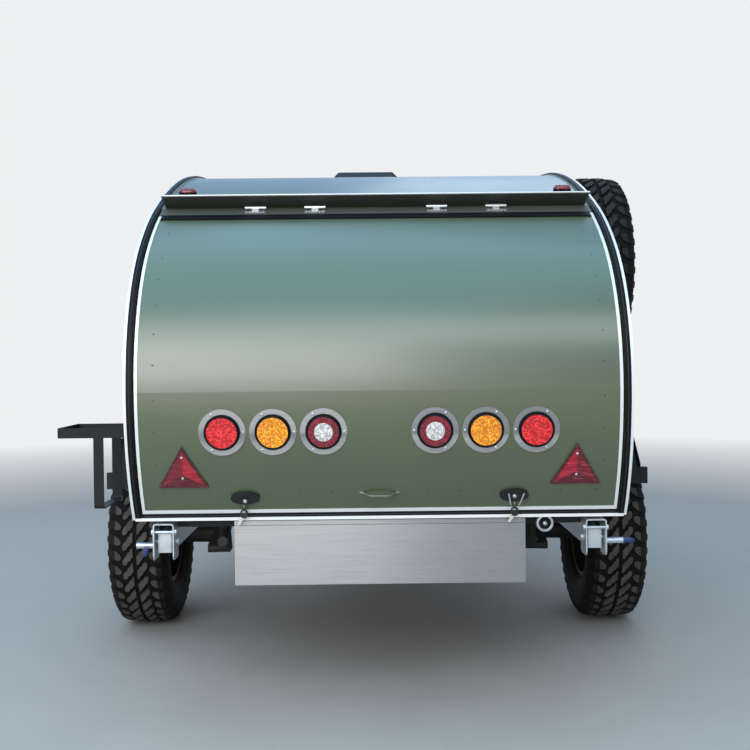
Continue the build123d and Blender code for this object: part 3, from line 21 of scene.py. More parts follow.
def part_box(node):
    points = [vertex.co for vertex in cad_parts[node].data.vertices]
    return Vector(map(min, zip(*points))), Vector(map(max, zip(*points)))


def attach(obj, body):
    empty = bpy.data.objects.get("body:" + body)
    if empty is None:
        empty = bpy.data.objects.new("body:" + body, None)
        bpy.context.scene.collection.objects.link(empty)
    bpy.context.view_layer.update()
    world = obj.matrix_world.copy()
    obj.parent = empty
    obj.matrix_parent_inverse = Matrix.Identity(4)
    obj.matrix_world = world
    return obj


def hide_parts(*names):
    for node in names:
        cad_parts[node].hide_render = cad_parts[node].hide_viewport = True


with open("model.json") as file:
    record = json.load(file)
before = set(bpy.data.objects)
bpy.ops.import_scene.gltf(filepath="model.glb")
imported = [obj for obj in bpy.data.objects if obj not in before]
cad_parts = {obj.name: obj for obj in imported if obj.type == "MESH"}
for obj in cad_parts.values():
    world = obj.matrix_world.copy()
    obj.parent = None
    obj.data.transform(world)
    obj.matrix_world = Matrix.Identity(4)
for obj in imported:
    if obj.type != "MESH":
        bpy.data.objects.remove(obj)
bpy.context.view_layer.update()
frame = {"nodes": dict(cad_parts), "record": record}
slot_of = {part["node"]: part["material_slot"] for part in frame["record"]["subparts"]}

# %% [markdown]
# ## Camera
#
# The picture was taken standing close behind the trailer, at about chest height, with a slight
# lean of the hand. A camera can be set by turning it step by step, but a roll is then easily given
# about the wrong axis. Here its three axes are worked out as vectors and put straight into its
# matrix: forward from the two view angles, then right and up turned by the lean.

# %% Camera
CAMERA_PLACE = np.array((-0.0299, -5.0632, 1.1036))
CAMERA_TURN, CAMERA_DOWN, CAMERA_LEAN = np.radians((0.357, 0.926, -0.596))      # turn is towards +X
CAMERA_LENS, CAMERA_FILM = 48.67, 36


def camera_matrix(place, turn, down, lean):
    """Forward leans from +Y by turn and down. Right is level and square to it, up is square to
    both, and the lean turns right and up about forward. A camera looks along its own -Z."""
    forward = np.array((sin(turn) * cos(down), cos(turn) * cos(down), -sin(down)))
    level = np.array((cos(turn), -sin(turn), 0.0))
    above = np.cross(level, forward)
    matrix = np.eye(4)
    matrix[:3, 0] = cos(lean) * level + sin(lean) * above
    matrix[:3, 1] = cos(lean) * above - sin(lean) * level
    matrix[:3, 2], matrix[:3, 3] = -forward, place
    return Matrix(matrix.tolist())


scene = bpy.context.scene
lens = bpy.data.cameras.new("camera")
lens.lens, lens.sensor_width, lens.clip_end = CAMERA_LENS, CAMERA_FILM, 200
camera = bpy.data.objects.new("camera", lens)
camera.matrix_world = camera_matrix(CAMERA_PLACE, CAMERA_TURN, CAMERA_DOWN, CAMERA_LEAN)
scene.collection.objects.link(camera)
scene.camera = camera
scene.view_settings.view_transform = "Standard"
print("camera at", CAMERA_PLACE)

# %% [markdown]
# ## Nodes
#
# The sky and every finish are small networks of nodes. Written out, each node takes a line to
# make, one for each setting and one for each wire. The helpers below do all of that in one call:
# what is handed to a socket is either a plain value, which is set, or the output of another node,
# which is wired to it.

# %% Node helpers
def give(tree, socket, value):
    """Wires another node's output to a socket, or sets the socket to a value."""
    if isinstance(value, bpy.types.NodeSocket):
        tree.links.new(value, socket)
    else:
        socket.default_value = value


def node(tree, kind, *feeds, **settings):
    """A node. The feeds go to its sockets in their order, a setting that is named after a socket
    goes to that one, and any other setting is the node's own."""
    made = tree.nodes.new("ShaderNode" + kind)
    sockets = dict(enumerate(feeds))
    for key, value in settings.items():
        if key.replace("_", " ") in made.inputs:
            sockets[key.replace("_", " ")] = value
        else:
            setattr(made, key, value)
    for key, value in sockets.items():
        give(tree, made.inputs[key], value)
    return made


def calc(tree, operation, *feeds, **settings):
    """The result of one sum on numbers."""
    return node(tree, "Math", *feeds, operation=operation, **settings).outputs[0]


def blend_shades(tree, mask, low, high, **settings):
    """A colour that goes from low to high as the mask goes from 0 to 1. Each of the two is red,
    green and blue, or the colour that another node gives."""
    mix = node(tree, "Mix", mask, data_type="RGBA", **settings)
    for socket, shade in ((6, low), (7, high)):
        give(tree, mix.inputs[socket], (*shade, 1) if isinstance(shade, tuple) else shade)
    return mix.outputs[2]


def spread(tree, mask, low, high, start=0.3, end=0.7):
    """A number that goes from low to high while the mask goes from start to end."""
    return node(tree, "MapRange", mask, start, end, low, high).outputs["Result"]


# %% [markdown]
# ## Light and ground
#
# The real trailer stood in open daylight: its hatch shows a broad pale band that fades to the
# right and turns bluish towards the top. A sky picture would bring that back, but a few plain
# panels do it with numbers that can be read: one low and broad behind the camera, set to the left,
# a wide one above it, a cool one overhead, and weak ones on the left and in front to round the
# other sides.
# What the camera sees behind the trailer, and what the metal and glass mirror, is a separate pale
# colour, chosen with Light Path, so it can be bright without lighting anything. Paint and metal
# mirror a bluer shade the higher a ray goes.

# %% World
BACKGROUND, HIGH_SKY = (0.86, 0.87, 0.88), (0.34, 0.54, 0.86)
BLUE_FROM = 0.42                  # how steep a mirrored ray is where the sky is fully blue
SKY_SHADE, SKY_POWER = (0.93, 0.97, 1.0, 1), 0.30

world = bpy.data.worlds.new("even_sky")
world.use_nodes = True
scene.world = world
sky = world.node_tree
sky.nodes.clear()
ray = node(sky, "LightPath").outputs
mirrored = calc(sky, "MAXIMUM", ray["Is Camera Ray"], ray["Is Glossy Ray"])
seen = calc(sky, "MAXIMUM", mirrored, ray["Is Transmission Ray"])
upward = node(sky, "SeparateXYZ", node(sky, "TexCoord").outputs["Generated"]).outputs["Z"]
bluer = calc(sky, "MULTIPLY", spread(sky, upward, 0.0, 1.0, 0.0, BLUE_FROM), ray["Is Glossy Ray"])
lighting = node(sky, "Background", SKY_SHADE, SKY_POWER)
visible = node(sky, "Background", blend_shades(sky, bluer, BACKGROUND, HIGH_SKY), 1.0)
both = node(sky, "MixShader", seen, lighting.outputs[0], visible.outputs[0])
node(sky, "OutputWorld", both.outputs[0])
print("sky of", len(sky.nodes), "nodes")


# %% Light panels
def light_panel(name, place, target, size, power, colour=(1, 1, 1)):
    """A flat lamp at a place, facing a target: its own -Z looks along the line between them. Size
    is width and height, power in watts."""
    lamp = bpy.data.lights.new(name, "AREA")
    lamp.shape, lamp.size, lamp.size_y = "RECTANGLE", size[0], size[1]
    lamp.energy, lamp.color = power, colour
    panel = bpy.data.objects.new(name, lamp)
    panel.location = place
    panel.rotation_mode = "QUATERNION"
    panel.rotation_quaternion = (Vector(target) - Vector(place)).to_track_quat("-Z", "Y")
    scene.collection.objects.link(panel)


COOL = (0.80, 0.90, 1.0)
light_panel("low_sky_behind", (-2.5, -7.4, 2.7), (-2.5, 0, 2.3), (5.5, 3.0), 225)
light_panel("middle_sky_behind", (-0.4, -7.0, 5.0), (-0.2, -2.0, 1.1), (8.5, 2.0), 150,
            (0.90, 0.97, 1.0))
light_panel("open_sky_above", (-0.5, -2.8, 7.5), (0, -2.0, 1.0), (7.5, 8.5), 255, (0.38, 0.76, 1.0))
light_panel("panel_left", (-7.0, 0.5, 7.0), (0, 0, 1.0), (8.0, 4.0), 95, COOL)
light_panel("panel_front", (3.5, 7.0, 8.0), (0, 0.5, 1.0), (8.0, 4.0), 95, COOL)

# %% [markdown]
# ## Shapes
#
# The points of a new piece come from numpy arrays, and every piece is made by the same few
# helpers. A *shape* is a pair: an array of points, and a list of face arrays, each holding faces
# with the same number of corners. Shapes can be moved, repeated and joined before any mesh exists,
# which keeps hundreds of screws or tread blocks in one object.

# %% Shapes: grids and joins
def grid_faces(rows, columns, close_rows=False, close_columns=False):
    """Four-cornered faces of a grid of points kept row by row: point (i, j) joins (i, j + 1),
    (i + 1, j + 1) and (i + 1, j). A closed direction joins its last line to its first."""
    i = np.arange(rows if close_rows else rows - 1)[:, None]
    j = np.arange(columns if close_columns else columns - 1)[None, :]
    below, beside = (i + 1) % rows, (j + 1) % columns
    corners = [i * columns + j, i * columns + beside, below * columns + beside, below * columns + j]
    return np.stack(np.broadcast_arrays(*corners), -1).reshape(-1, 4)


def tube_faces(rows, columns, closed=False):
    """Faces of a stack of closed rows: the sides between them, and one flat face on the first row
    and one on the last. A closed stack joins its last row to its first instead."""
    sides, end = grid_faces(rows, columns, closed, True), np.arange(columns)[None]
    return [sides] if closed else [sides, end[:, ::-1], end + (rows - 1) * columns]


def join(shapes):
    """One shape from several: each one's face numbers move up by the points before it."""
    points, faces, count = [], [], 0
    for shape_points, shape_faces in shapes:
        points.append(shape_points)
        faces.extend(block + count for block in shape_faces)
        count += len(shape_points)
    return np.concatenate(points), faces


def round_angles(count):
    """Angles of so many points evenly round a circle."""
    return np.arange(count) * 2 * pi / count


# %% Shapes into pieces
FINISH = {}


def shade_edges(mesh, degrees):
    """Turns all faces outwards, and marks as sharp each edge that bends more than an angle."""
    work = bmesh.new()
    work.from_mesh(mesh)
    bmesh.ops.recalc_face_normals(work, faces=work.faces)
    for face in work.faces:
        face.smooth = True
    for edge in work.edges:
        if len(edge.link_faces) == 2:
            edge.smooth = edge.calc_face_angle(0) < radians(degrees)
    work.to_mesh(mesh)
    work.free()


def piece(name, shape, finish, body, smooth=35, stands_for=(), attributes=None):
    """Puts a shape into a mesh, gives it a finish, and lets it ride on a body of the trailer.
    Edges flatter than smooth degrees are shaded round; attributes are one number for each
    point."""
    points, faces = shape
    mesh = bpy.data.meshes.new(name)
    mesh.from_pydata(points.tolist(), [], [tuple(f) for block in faces for f in block.tolist()])
    for key, values in (attributes or {}).items():
        row = mesh.attributes.new(key, "FLOAT", "POINT")
        row.data.foreach_set("value", np.asarray(values, float))
    mesh.validate()
    shade_edges(mesh, smooth)
    mesh.materials.append(FINISH[finish])
    made = bpy.data.objects.new(name, mesh)
    scene.collection.objects.link(made)
    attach(made, body)
    if stands_for:
        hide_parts(*stands_for)
    print(name, len(mesh.polygons), "faces")
    return made


# %% [markdown]
# ## Finishes
#
# The real surfaces differ less in colour than in how they break the light: satin paint with a
# faint orange peel, drawn steel with fine lines, rubber that has gone grey with dust. Each of
# those effects is a node group, built once with its own inputs, and each finish places the groups
# that it needs. Only things that change over a surface come out of a group; plain numbers sit on
# the shader's own sockets.

# %% Group helpers
def feed(tree, made, **feeds):
    """Gives something to each socket of a node that is named, with _ for a space."""
    for key, value in feeds.items():
        give(tree, made.inputs[key.replace("_", " ")], value)


def on_object(tree):
    """The place on the object, in metres."""
    return node(tree, "TexCoord").outputs["Object"]


def group(name, inputs, outputs):
    """An empty shader group: inputs are name: starting value, outputs are name: socket kind.
    Returns the group, the sockets that its inputs come in by, and its output node."""
    tree = bpy.data.node_groups.new(name, "ShaderNodeTree")
    for key, value in inputs.items():
        socket = tree.interface.new_socket(key, in_out="INPUT", socket_type="NodeSocketFloat")
        socket.default_value = value
    for key, kind in outputs.items():
        tree.interface.new_socket(key, in_out="OUTPUT", socket_type="NodeSocket" + kind)
    return tree, tree.nodes.new("NodeGroupInput").outputs, tree.nodes.new("NodeGroupOutput")


# %% [markdown]
# Paint is never quite even: it has a fine peel that bends reflections, and broad patches where
# dust has dulled it. One noise at two scales gives both.

# %% Group: peel and patches
peel, taken, given = group("peel_and_patches",
                           {"Fine Scale": 900, "Patch Scale": 3, "Bump": 0.05, "Height": 0.0004},
                           {"Patches": "Float", "Grain": "Float", "Normal": "Vector"})
place = on_object(peel)
fine = node(peel, "TexNoise", place, Scale=taken["Fine Scale"], Detail=2.0, Roughness=0.55)
broad = node(peel, "TexNoise", place, Scale=taken["Patch Scale"], Detail=5.0, Roughness=0.6)
bump = node(peel, "Bump", Strength=taken["Bump"], Distance=taken["Height"],
            Height=fine.outputs["Fac"])
feed(peel, given, Patches=broad.outputs["Fac"], Grain=fine.outputs["Fac"], Normal=bump.outputs[0])

# %% [markdown]
# Drawn or brushed metal has lines in one direction. The same noise, stretched ninety times
# along X, is that pattern; its fine ridges give the bump and a spread of gloss.

# %% Group: brushed lines
brushed, taken, given = group("brushed_lines", {"Scale": 6, "Bump": 0.06, "Height": 0.0002},
                              {"Lines": "Float", "Normal": "Vector"})
stretch = node(brushed, "Mapping", on_object(brushed), Scale=(1.0, 90.0, 90.0))
lines = node(brushed, "TexNoise", stretch.outputs[0], Scale=taken["Scale"], Detail=4.0,
             Roughness=0.6)
bump = node(brushed, "Bump", Strength=taken["Bump"], Distance=taken["Height"],
            Height=lines.outputs["Fac"])
feed(brushed, given, Lines=lines.outputs["Fac"], Normal=bump.outputs[0])

# %% [markdown]
# Dust lies thickest near the road. This group reads the height above the ground and breaks its
# upper edge up with noise, so wheels and frame pale towards the floor.

# %% Group: road dust
dust, taken, given = group("road_dust", {"Top": 0.75, "Amount": 0.5, "Scale": 14},
                           {"Mask": "Float"})
place = on_object(dust)
height = node(dust, "SeparateXYZ", place).outputs["Z"]
fall = spread(dust, height, 1.0, 0.0, 0.0, taken["Top"])
spots = node(dust, "TexNoise", place, Scale=taken["Scale"], Detail=6.0, Roughness=0.65)
broken = calc(dust, "MULTIPLY", fall, spots.outputs["Fac"])
feed(dust, given, Mask=calc(dust, "MULTIPLY", broken, taken["Amount"], use_clamp=True))

# %% [markdown]
# Lamp lenses sparkle because hundreds of small prisms each catch the light differently. Voronoi
# cells a few millimetres wide, each with its own tilt and its own painted brightness, a painted
# glint, look just so.

# %% Group: prism cells
prisms, taken, given = group("prism_cells", {"Scale": 190, "Bump": 0.5, "Height": 0.0015},
                             {"Sparkle": "Float", "Normal": "Vector"})
cells = node(prisms, "TexVoronoi", on_object(prisms), Scale=taken["Scale"], feature="F1")
cell_tone = node(prisms, "SeparateColor", cells.outputs["Color"])
bump = node(prisms, "Bump", Strength=taken["Bump"], Distance=taken["Height"],
            Height=cells.outputs["Distance"])
feed(prisms, given, Sparkle=cell_tone.outputs["Red"], Normal=bump.outputs[0])
print("groups:", [made.name for made in bpy.data.node_groups])


# %% Finish helpers
def finish(name, shade, roughness, metallic=0.0, **sockets):
    """A material with its Principled shader set: base shade, roughness, metallic, other sockets."""
    made = bpy.data.materials.new(name)
    made.use_nodes = True
    shader = made.node_tree.nodes["Principled BSDF"]
    feed(made.node_tree, shader, Base_Color=(*shade, 1), Roughness=roughness, Metallic=metallic,
         **sockets)
    made.diffuse_color = (*shade, 1)
    FINISH[name] = made
    return made.node_tree, shader


def placed(tree, effect, **values):
    """An effect group placed in a material with its own values. Returns what it puts out."""
    made = tree.nodes.new("ShaderNodeGroup")
    made.node_tree = effect
    feed(tree, made, **values)
    return made.outputs


DUST = (0.24, 0.22, 0.19)


def dusted(tree, shade, top, amount):
    """A shade with road dust over it, up to a height in metres."""
    return blend_shades(tree, placed(tree, dust, Top=top, Amount=amount)["Mask"], shade, DUST)


def painted(name, low, high, rough, fine_scale, bump, dusty=0.0, dust_top=0.75, metallic=0.0,
            patch_scale=3.0, height=0.0004, **sockets):
    """Paint, plastic or rubber: patches move the shade from low to high and spread the gloss,
    a fine peel bends the normal, and dust covers what is near the road."""
    tree, shader = finish(name, low, rough, metallic, **sockets)
    effect = placed(tree, peel, Fine_Scale=fine_scale, Patch_Scale=patch_scale, Bump=bump,
                    Height=height)
    shade = blend_shades(tree, spread(tree, effect["Patches"], 0, 1), low, high)
    feed(tree, shader, Base_Color=dusted(tree, shade, dust_top, dusty) if dusty else shade,
         Roughness=spread(tree, effect["Patches"], rough - 0.05, rough + 0.07),
         Normal=effect["Normal"])
    return tree, shader


# %% [markdown]
# The body is a soft olive green in satin paint under a thin clear coat. Steel underneath is black
# powder coat, with a coarser peel. Trims are plain aluminium, bright but slightly milky.

# %% Paints, plastics, rubbers and plain metals
painted("body_green", (0.066, 0.092, 0.036), (0.073, 0.100, 0.041), 0.36, 700, 0.02,
        Coat_Weight=1.0, Coat_Roughness=0.27, Coat_IOR=1.6, Specular_IOR_Level=0.6)
# the visor's paint is duller, greyer and a little darker than the body's: painted shade for its
# underside
painted("visor_painted_shade_green", (0.064, 0.068, 0.060), (0.072, 0.076, 0.067), 0.6, 700, 0.03)
# the top rail's paint is lighter and greyer than the body's: painted light where the visor shades
# it
painted("rail_painted_light_green", (0.086, 0.096, 0.082), (0.094, 0.106, 0.090), 0.5, 700, 0.03)
painted("black_steel", (0.010, 0.011, 0.012), (0.016, 0.016, 0.016), 0.48, 1100, 0.18, 0.3,
        Specular_IOR_Level=0.2)
painted("black_plastic", (0.012, 0.012, 0.013), (0.018, 0.018, 0.019), 0.42, 1600, 0.12,
        Specular_IOR_Level=0.35)
painted("black_rubber", (0.003, 0.003, 0.004), (0.006, 0.006, 0.007), 0.5, 1400, 0.10,
        Specular_IOR_Level=0.15)
painted("rim_paint", (0.010, 0.010, 0.011), (0.016, 0.016, 0.017), 0.38, 900, 0.08, 0.15,
        Coat_Weight=0.1, Specular_IOR_Level=0.3)
painted("pipe_grey", (0.20, 0.20, 0.19), (0.27, 0.27, 0.25), 0.45, 900, 0.08, 0.1, metallic=0.3)
painted("floor_board", (0.42, 0.30, 0.18), (0.50, 0.37, 0.23), 0.5, 300, 0.2, patch_scale=9.0)
painted("silver_trim", (0.86, 0.87, 0.88), (0.92, 0.93, 0.94), 0.33, 900, 0.03, metallic=0.2)
painted("zinc", (0.52, 0.57, 0.60), (0.64, 0.69, 0.72), 0.34, 260, 0.10, 0.12, metallic=0.8,
        patch_scale=24.0)
painted("hinge_steel", (0.62, 0.63, 0.64), (0.74, 0.75, 0.76), 0.3, 700, 0.05, metallic=0.85)
print(len(FINISH), "finishes so far")

# %% Brushed steel of the tank guard and the lamp flanges
tree, shader = finish("stainless", (0.58, 0.59, 0.60), 0.34, 0.95, Anisotropic=0.9,
                      Anisotropic_Rotation=0.25)
effect = placed(tree, brushed, Scale=5.0, Bump=0.05)
shade = blend_shades(tree, spread(tree, effect["Lines"], 0, 1), (0.345, 0.342, 0.335),
                     (0.385, 0.382, 0.375))
feed(tree, shader, Base_Color=shade, Roughness=spread(tree, effect["Lines"], 0.26, 0.36),
     Normal=effect["Normal"])


# %% Lamp lenses
def lens_finish(name, deep, bright, scale, painted_glow):
    """A clear coloured cover over prisms: each cell lies between the deep and the bright shade as a
    painted glint, and the whole cover glows faintly in its shade, a painted light of an unlit lamp.
    """
    tree, shader = finish(name, deep, 0.12, Coat_Weight=0.4, Coat_Roughness=0.05,
                          Emission_Strength=painted_glow)
    effect = placed(tree, prisms, Scale=scale, Bump=0.35)
    shade = blend_shades(tree, spread(tree, effect["Sparkle"], 0, 1, 0.35, 0.95), deep, bright)
    feed(tree, shader, Base_Color=shade, Emission_Color=shade, Normal=effect["Normal"])
    return tree, shader, shade


# the lenses' emission is painted light: they glow though no lamp is lit
tree, shader, shade = lens_finish("red_lens", (0.42, 0.002, 0.006), (0.95, 0.035, 0.04), 230, 0.18)
lens_finish("amber_lens", (0.62, 0.15, 0.002), (1.0, 0.50, 0.02), 260, 0.18)
lens_finish("clear_lens", (0.45, 0.44, 0.43), (0.95, 0.95, 0.96), 230, 0.05)

# %% [markdown]
# The red rings round the two reversing lamps are unlit reflectors, much deeper in colour than the
# tail lamps, though they are the same moulding, and so are the domes of the marker lamps on the
# roof. Their place tells them apart: the rings lie nearer to the middle than 0.24 m, the domes
# higher than 1.5 m.

# %% Wine red of the inner rings and the domes
RING_REACH, DOME_HEIGHT, WINE = 0.24, 1.5, (0.30, 0.45, 0.9)
parts = node(tree, "SeparateXYZ", on_object(tree)).outputs
inner = calc(tree, "LESS_THAN", calc(tree, "ABSOLUTE", parts["X"]), RING_REACH)
on_roof = calc(tree, "GREATER_THAN", parts["Z"], DOME_HEIGHT)
wine = blend_shades(tree, calc(tree, "MAXIMUM", inner, on_roof), shade, WINE, blend_type="MULTIPLY")
feed(tree, shader, Base_Color=wine, Emission_Color=wine)
print("lens finishes:", [name for name in FINISH if name.endswith("lens")])

# %% [markdown]
# The triangular reflectors are a deeper red than the lamps: a moulded block whose prisms throw
# light straight back, so away from the sun it looks like dark wine with pale, wavy streaks. Noise
# that is stretched sideways paints the streaks in, as painted glints. Each facet gets a number on
# its points that paints light and shade on it: the facet that faces the middle of the trailer is
# painted lit, the others are painted in shade.

# %% Reflector finish
tree, shader = finish("reflector_red", (0.16, 0.004, 0.010), 0.16, Coat_Weight=0.35,
                      Coat_Roughness=0.06)
stretch = node(tree, "Mapping", on_object(tree), Scale=(9.0, 9.0, 95.0))
glint_streaks = node(tree, "TexNoise", stretch.outputs[0], Scale=2.2, Detail=3.0, Roughness=0.55,
               Distortion=0.6).outputs["Fac"]
dark = blend_shades(tree, spread(tree, glint_streaks, 0, 1, 0.56, 0.72), (0.085, 0.004, 0.012),
                    (0.34, 0.085, 0.11))
painted_lit = blend_shades(tree, spread(tree, glint_streaks, 0, 1, 0.40, 0.75), (0.30, 0.003, 0.014),
                   (0.66, 0.026, 0.055))
# painted light and shade of each facet, read from the number on its points
facet = node(tree, "Attribute", attribute_name="painted_lit").outputs["Fac"]
bump = node(tree, "Bump", Strength=0.25, Distance=0.001, Height=glint_streaks)
feed(tree, shader, Base_Color=blend_shades(tree, facet, dark, painted_lit), Normal=bump.outputs[0])

# %% Dark glass of the doors
tree, shader = finish("dark_glass", (0.012, 0.015, 0.017), 0.04, Coat_Weight=1.0,
                      Coat_Roughness=0.02)
effect = placed(tree, peel, Fine_Scale=4.0, Patch_Scale=2.0, Bump=0.02, Height=0.004)
feed(tree, shader, Roughness=spread(tree, effect["Patches"], 0.03, 0.10), Normal=effect["Normal"])

# %% [markdown]
# The toolbox is folded from checker plate, whose raised bars keep boots from slipping. A lattice of
# Voronoi cells without any randomness is a grid of round spots; stretched, it is a grid of bars.
# Two such grids at right angles, one moved by half a cell, are the plate's pattern. The plate runs
# round corners, so the pattern's two directions are sums of the three coordinates.

# %% Checker plate
BARS_ALONG, BARS_ACROSS = 19.0, 38.0          # bars to a metre of each grid
tree, shader = finish("checker_plate", (0.60, 0.61, 0.62), 0.30, 0.85)
parts = node(tree, "SeparateXYZ", on_object(tree)).outputs
flat_place = node(tree, "CombineXYZ", calc(tree, "ADD", parts["X"], parts["Y"]),
                  calc(tree, "MULTIPLY_ADD", parts["Y"], 0.5, parts["Z"])).outputs[0]
bars = []
for turn, shift in ((45, 0.0), (-45, 0.5)):
    laid = node(tree, "Mapping", flat_place, Rotation=(0, 0, radians(turn)),
                Scale=(BARS_ALONG, BARS_ACROSS, 1.0), Location=(shift, shift, 0))
    spots = node(tree, "TexVoronoi", laid.outputs[0], voronoi_dimensions="2D", feature="F1",
                 Randomness=0.0, Scale=1.0)
    bars.append(spread(tree, spots.outputs["Distance"], 1.0, 0.0, 0.16, 0.30))
plate = calc(tree, "MAXIMUM", *bars)
bump = node(tree, "Bump", Strength=0.8, Distance=0.0016, Height=plate)
feed(tree, shader, Base_Color=blend_shades(tree, plate, (0.46, 0.47, 0.48), (0.70, 0.71, 0.72)),
     Roughness=spread(tree, plate, 0.42, 0.24, 0, 1), Normal=bump.outputs[0])

# %% Small parts, and the plain rubber of the solids
# the rivets' paint is darker than the body's: a painted shade round each rivet
painted("rivet_painted_shade", (0.030, 0.040, 0.022), (0.045, 0.058, 0.033), 0.5, 900, 0.05)
painted("blue_grip", (0.012, 0.036, 0.15), (0.018, 0.052, 0.20), 0.4, 900, 0.06)
painted("tag_grey", (0.62, 0.59, 0.52), (0.70, 0.67, 0.60), 0.35, 600, 0.05, metallic=0.1)
painted("tyre_rubber", (0.012, 0.012, 0.012), (0.020, 0.019, 0.018), 0.72, 500, 0.3, 0.35, 0.5)

# %% Dress every solid in its finish
SPECIAL = {"rain_visor": "visor_painted_shade_green", "hatch_top_rail": "rail_painted_light_green",
           "reflector_triangles": "reflector_red"}
for name, solid in frame["nodes"].items():
    solid.data.materials.clear()
    solid.data.materials.append(FINISH[SPECIAL.get(name, slot_of[name])])
print("dressed", len(frame["nodes"]), "solids")

# %% [markdown]
# ## Floor
#
# A plain pale floor that keeps the trailer's shadow. A floor that ends, or one that runs on to a
# horizon, draws a hard line across the picture. Here it is a disc that thins out with the distance
# from the trailer, through its Alpha, so it melts into the background all round.

# %% Floor
FLOOR_REACH, FLOOR_SIDES = 10.0, 64
FULL_TO, GONE_AT = 3.6, 9.5       # metres from the middle
tree, shader = painted("pale_floor", (0.47, 0.47, 0.47), (0.50, 0.50, 0.50), 0.7, 400, 0.03)
far = node(tree, "VectorMath", on_object(tree), operation="LENGTH").outputs["Value"]
feed(tree, shader, Alpha=spread(tree, far, 1.0, 0.0, FULL_TO, GONE_AT))
turn = round_angles(FLOOR_SIDES)
edge = FLOOR_REACH * np.stack((np.cos(turn), np.sin(turn), 0 * turn), 1)
floor_mesh = bpy.data.meshes.new("pale_floor")
floor_mesh.from_pydata(edge.tolist(), [], [tuple(range(FLOOR_SIDES))])
floor_mesh.materials.append(FINISH["pale_floor"])
floor = bpy.data.objects.new("pale_floor", floor_mesh)
scene.collection.objects.link(floor)
print("floor reaches", FLOOR_REACH, "m")

# %% [markdown]
# ## Tyres
#
# A mud tyre is a plain carcass with rows of thick blocks. Two ways to make one are to cut grooves
# into a thick ring, or to raise blocks on a thin one. Raised blocks need no cutting and every
# block is the same small shape, so they can be placed by arrays. A block is drawn flat, by how far
# it lies round the tyre and how far across, and a function lays it on the carcass.

# %% Carcass section
def rounded(points, times):
    """Cuts each corner of a line at a quarter and three quarters, and repeats that."""
    for _ in range(times):
        near, far = points[:-1], points[1:]
        cut = np.stack((near * 0.75 + far * 0.25, near * 0.25 + far * 0.75), 1)
        points = np.concatenate((points[:1], cut.reshape(-1, points.shape[1]), points[-1:]))
    return points


# Columns: half width, radius. From the middle of the tread down to the bead.
SECTION = np.array([(0, 355), (30, 354.8), (55, 354.2), (68, 354.4), (82, 353.6), (97, 347.6),
                    (108.5, 335.2), (114.2, 319), (116.6, 300), (117.3, 284), (116, 262),
                    (110, 238), (101, 219), (94, 210), (88, 205), (84, 198), (80, 191)]) / 1000
TREAD_RADIUS = 0.3665
PITCHES = 38                      # blocks round each row
TREAD_LENGTH = 2 * pi * TREAD_RADIUS / PITCHES
half = rounded(SECTION, 2)
across_half = np.concatenate(([0], np.cumsum(np.hypot(*np.diff(half, axis=0).T))))
print("across the carcass:", round(2 * across_half[-1], 3), "m")


def on_carcass(around, across, out):
    """Point of the tyre about the X axis. across is a length measured along the section from the
    middle, around a length round the tread, out a height square to the carcass:
    x = sign * (w + out * nx), radius = r + out * nr, angle = around / tread radius."""
    side, far = np.sign(across), np.abs(across)
    step = 0.004
    wide, radius = (np.interp(far, across_half, column) for column in half.T)
    slope_w, slope_r = (np.interp(far + step, across_half, column)
                        - np.interp(far - step, across_half, column) for column in half.T)
    slope_w = np.where(far < step, 2 * step, slope_w)
    slope_r = np.where(far < step, 0, slope_r)
    length = np.hypot(slope_w, slope_r)
    wide = wide - out * slope_r / length
    radius = radius + out * slope_w / length
    angle = around / TREAD_RADIUS
    return np.stack((side * wide, radius * np.sin(angle), radius * np.cos(angle)), -1)


# %% [markdown]
# The tread has four rows. The two middle rows are hooked blocks that lean one way, the shoulder
# rows lean the other way and run down over the side of the tyre. Half a turn about the middle of
# the tread brings the pattern back onto itself, so only one half is drawn.

# %% Tread blocks
# Columns: across, around, in millimetres. Each block is drawn once, for the left half.
MIDDLE_BLOCK = [(-49, -20), (-44, -8), (-34, 1), (-27, 15), (-19, 22), (-14, 33), (-7, 33),
                (-7, -3), (-14, -8), (-18, -18), (-27, -20), (-31, -31), (-40, -37), (-48, -34)]
SHOULDER_BLOCK = [(-54, -4), (-57, -15), (-70, -17), (-79, -13), (-79, 24), (-70, 17), (-58, 6)]
SHOULDER_SIDE = [(-79.4, -13), (-86, -10), (-97, -9), (-97, 28), (-86, 27), (-79.4, 24)]
SIDE_LUG = [(-99, 26), (-99, -6), (-116, -5), (-131, -1), (-131, 21), (-116, 24)]
# Columns: outline, height over the carcass, how far the road scuffs its top
BLOCKS = [(MIDDLE_BLOCK, 0.0115, 1.0), (SHOULDER_BLOCK, 0.0075, 0.85),
          (SHOULDER_SIDE, 0.0075, 0.12), (SIDE_LUG, 0.0035, 0.05)]


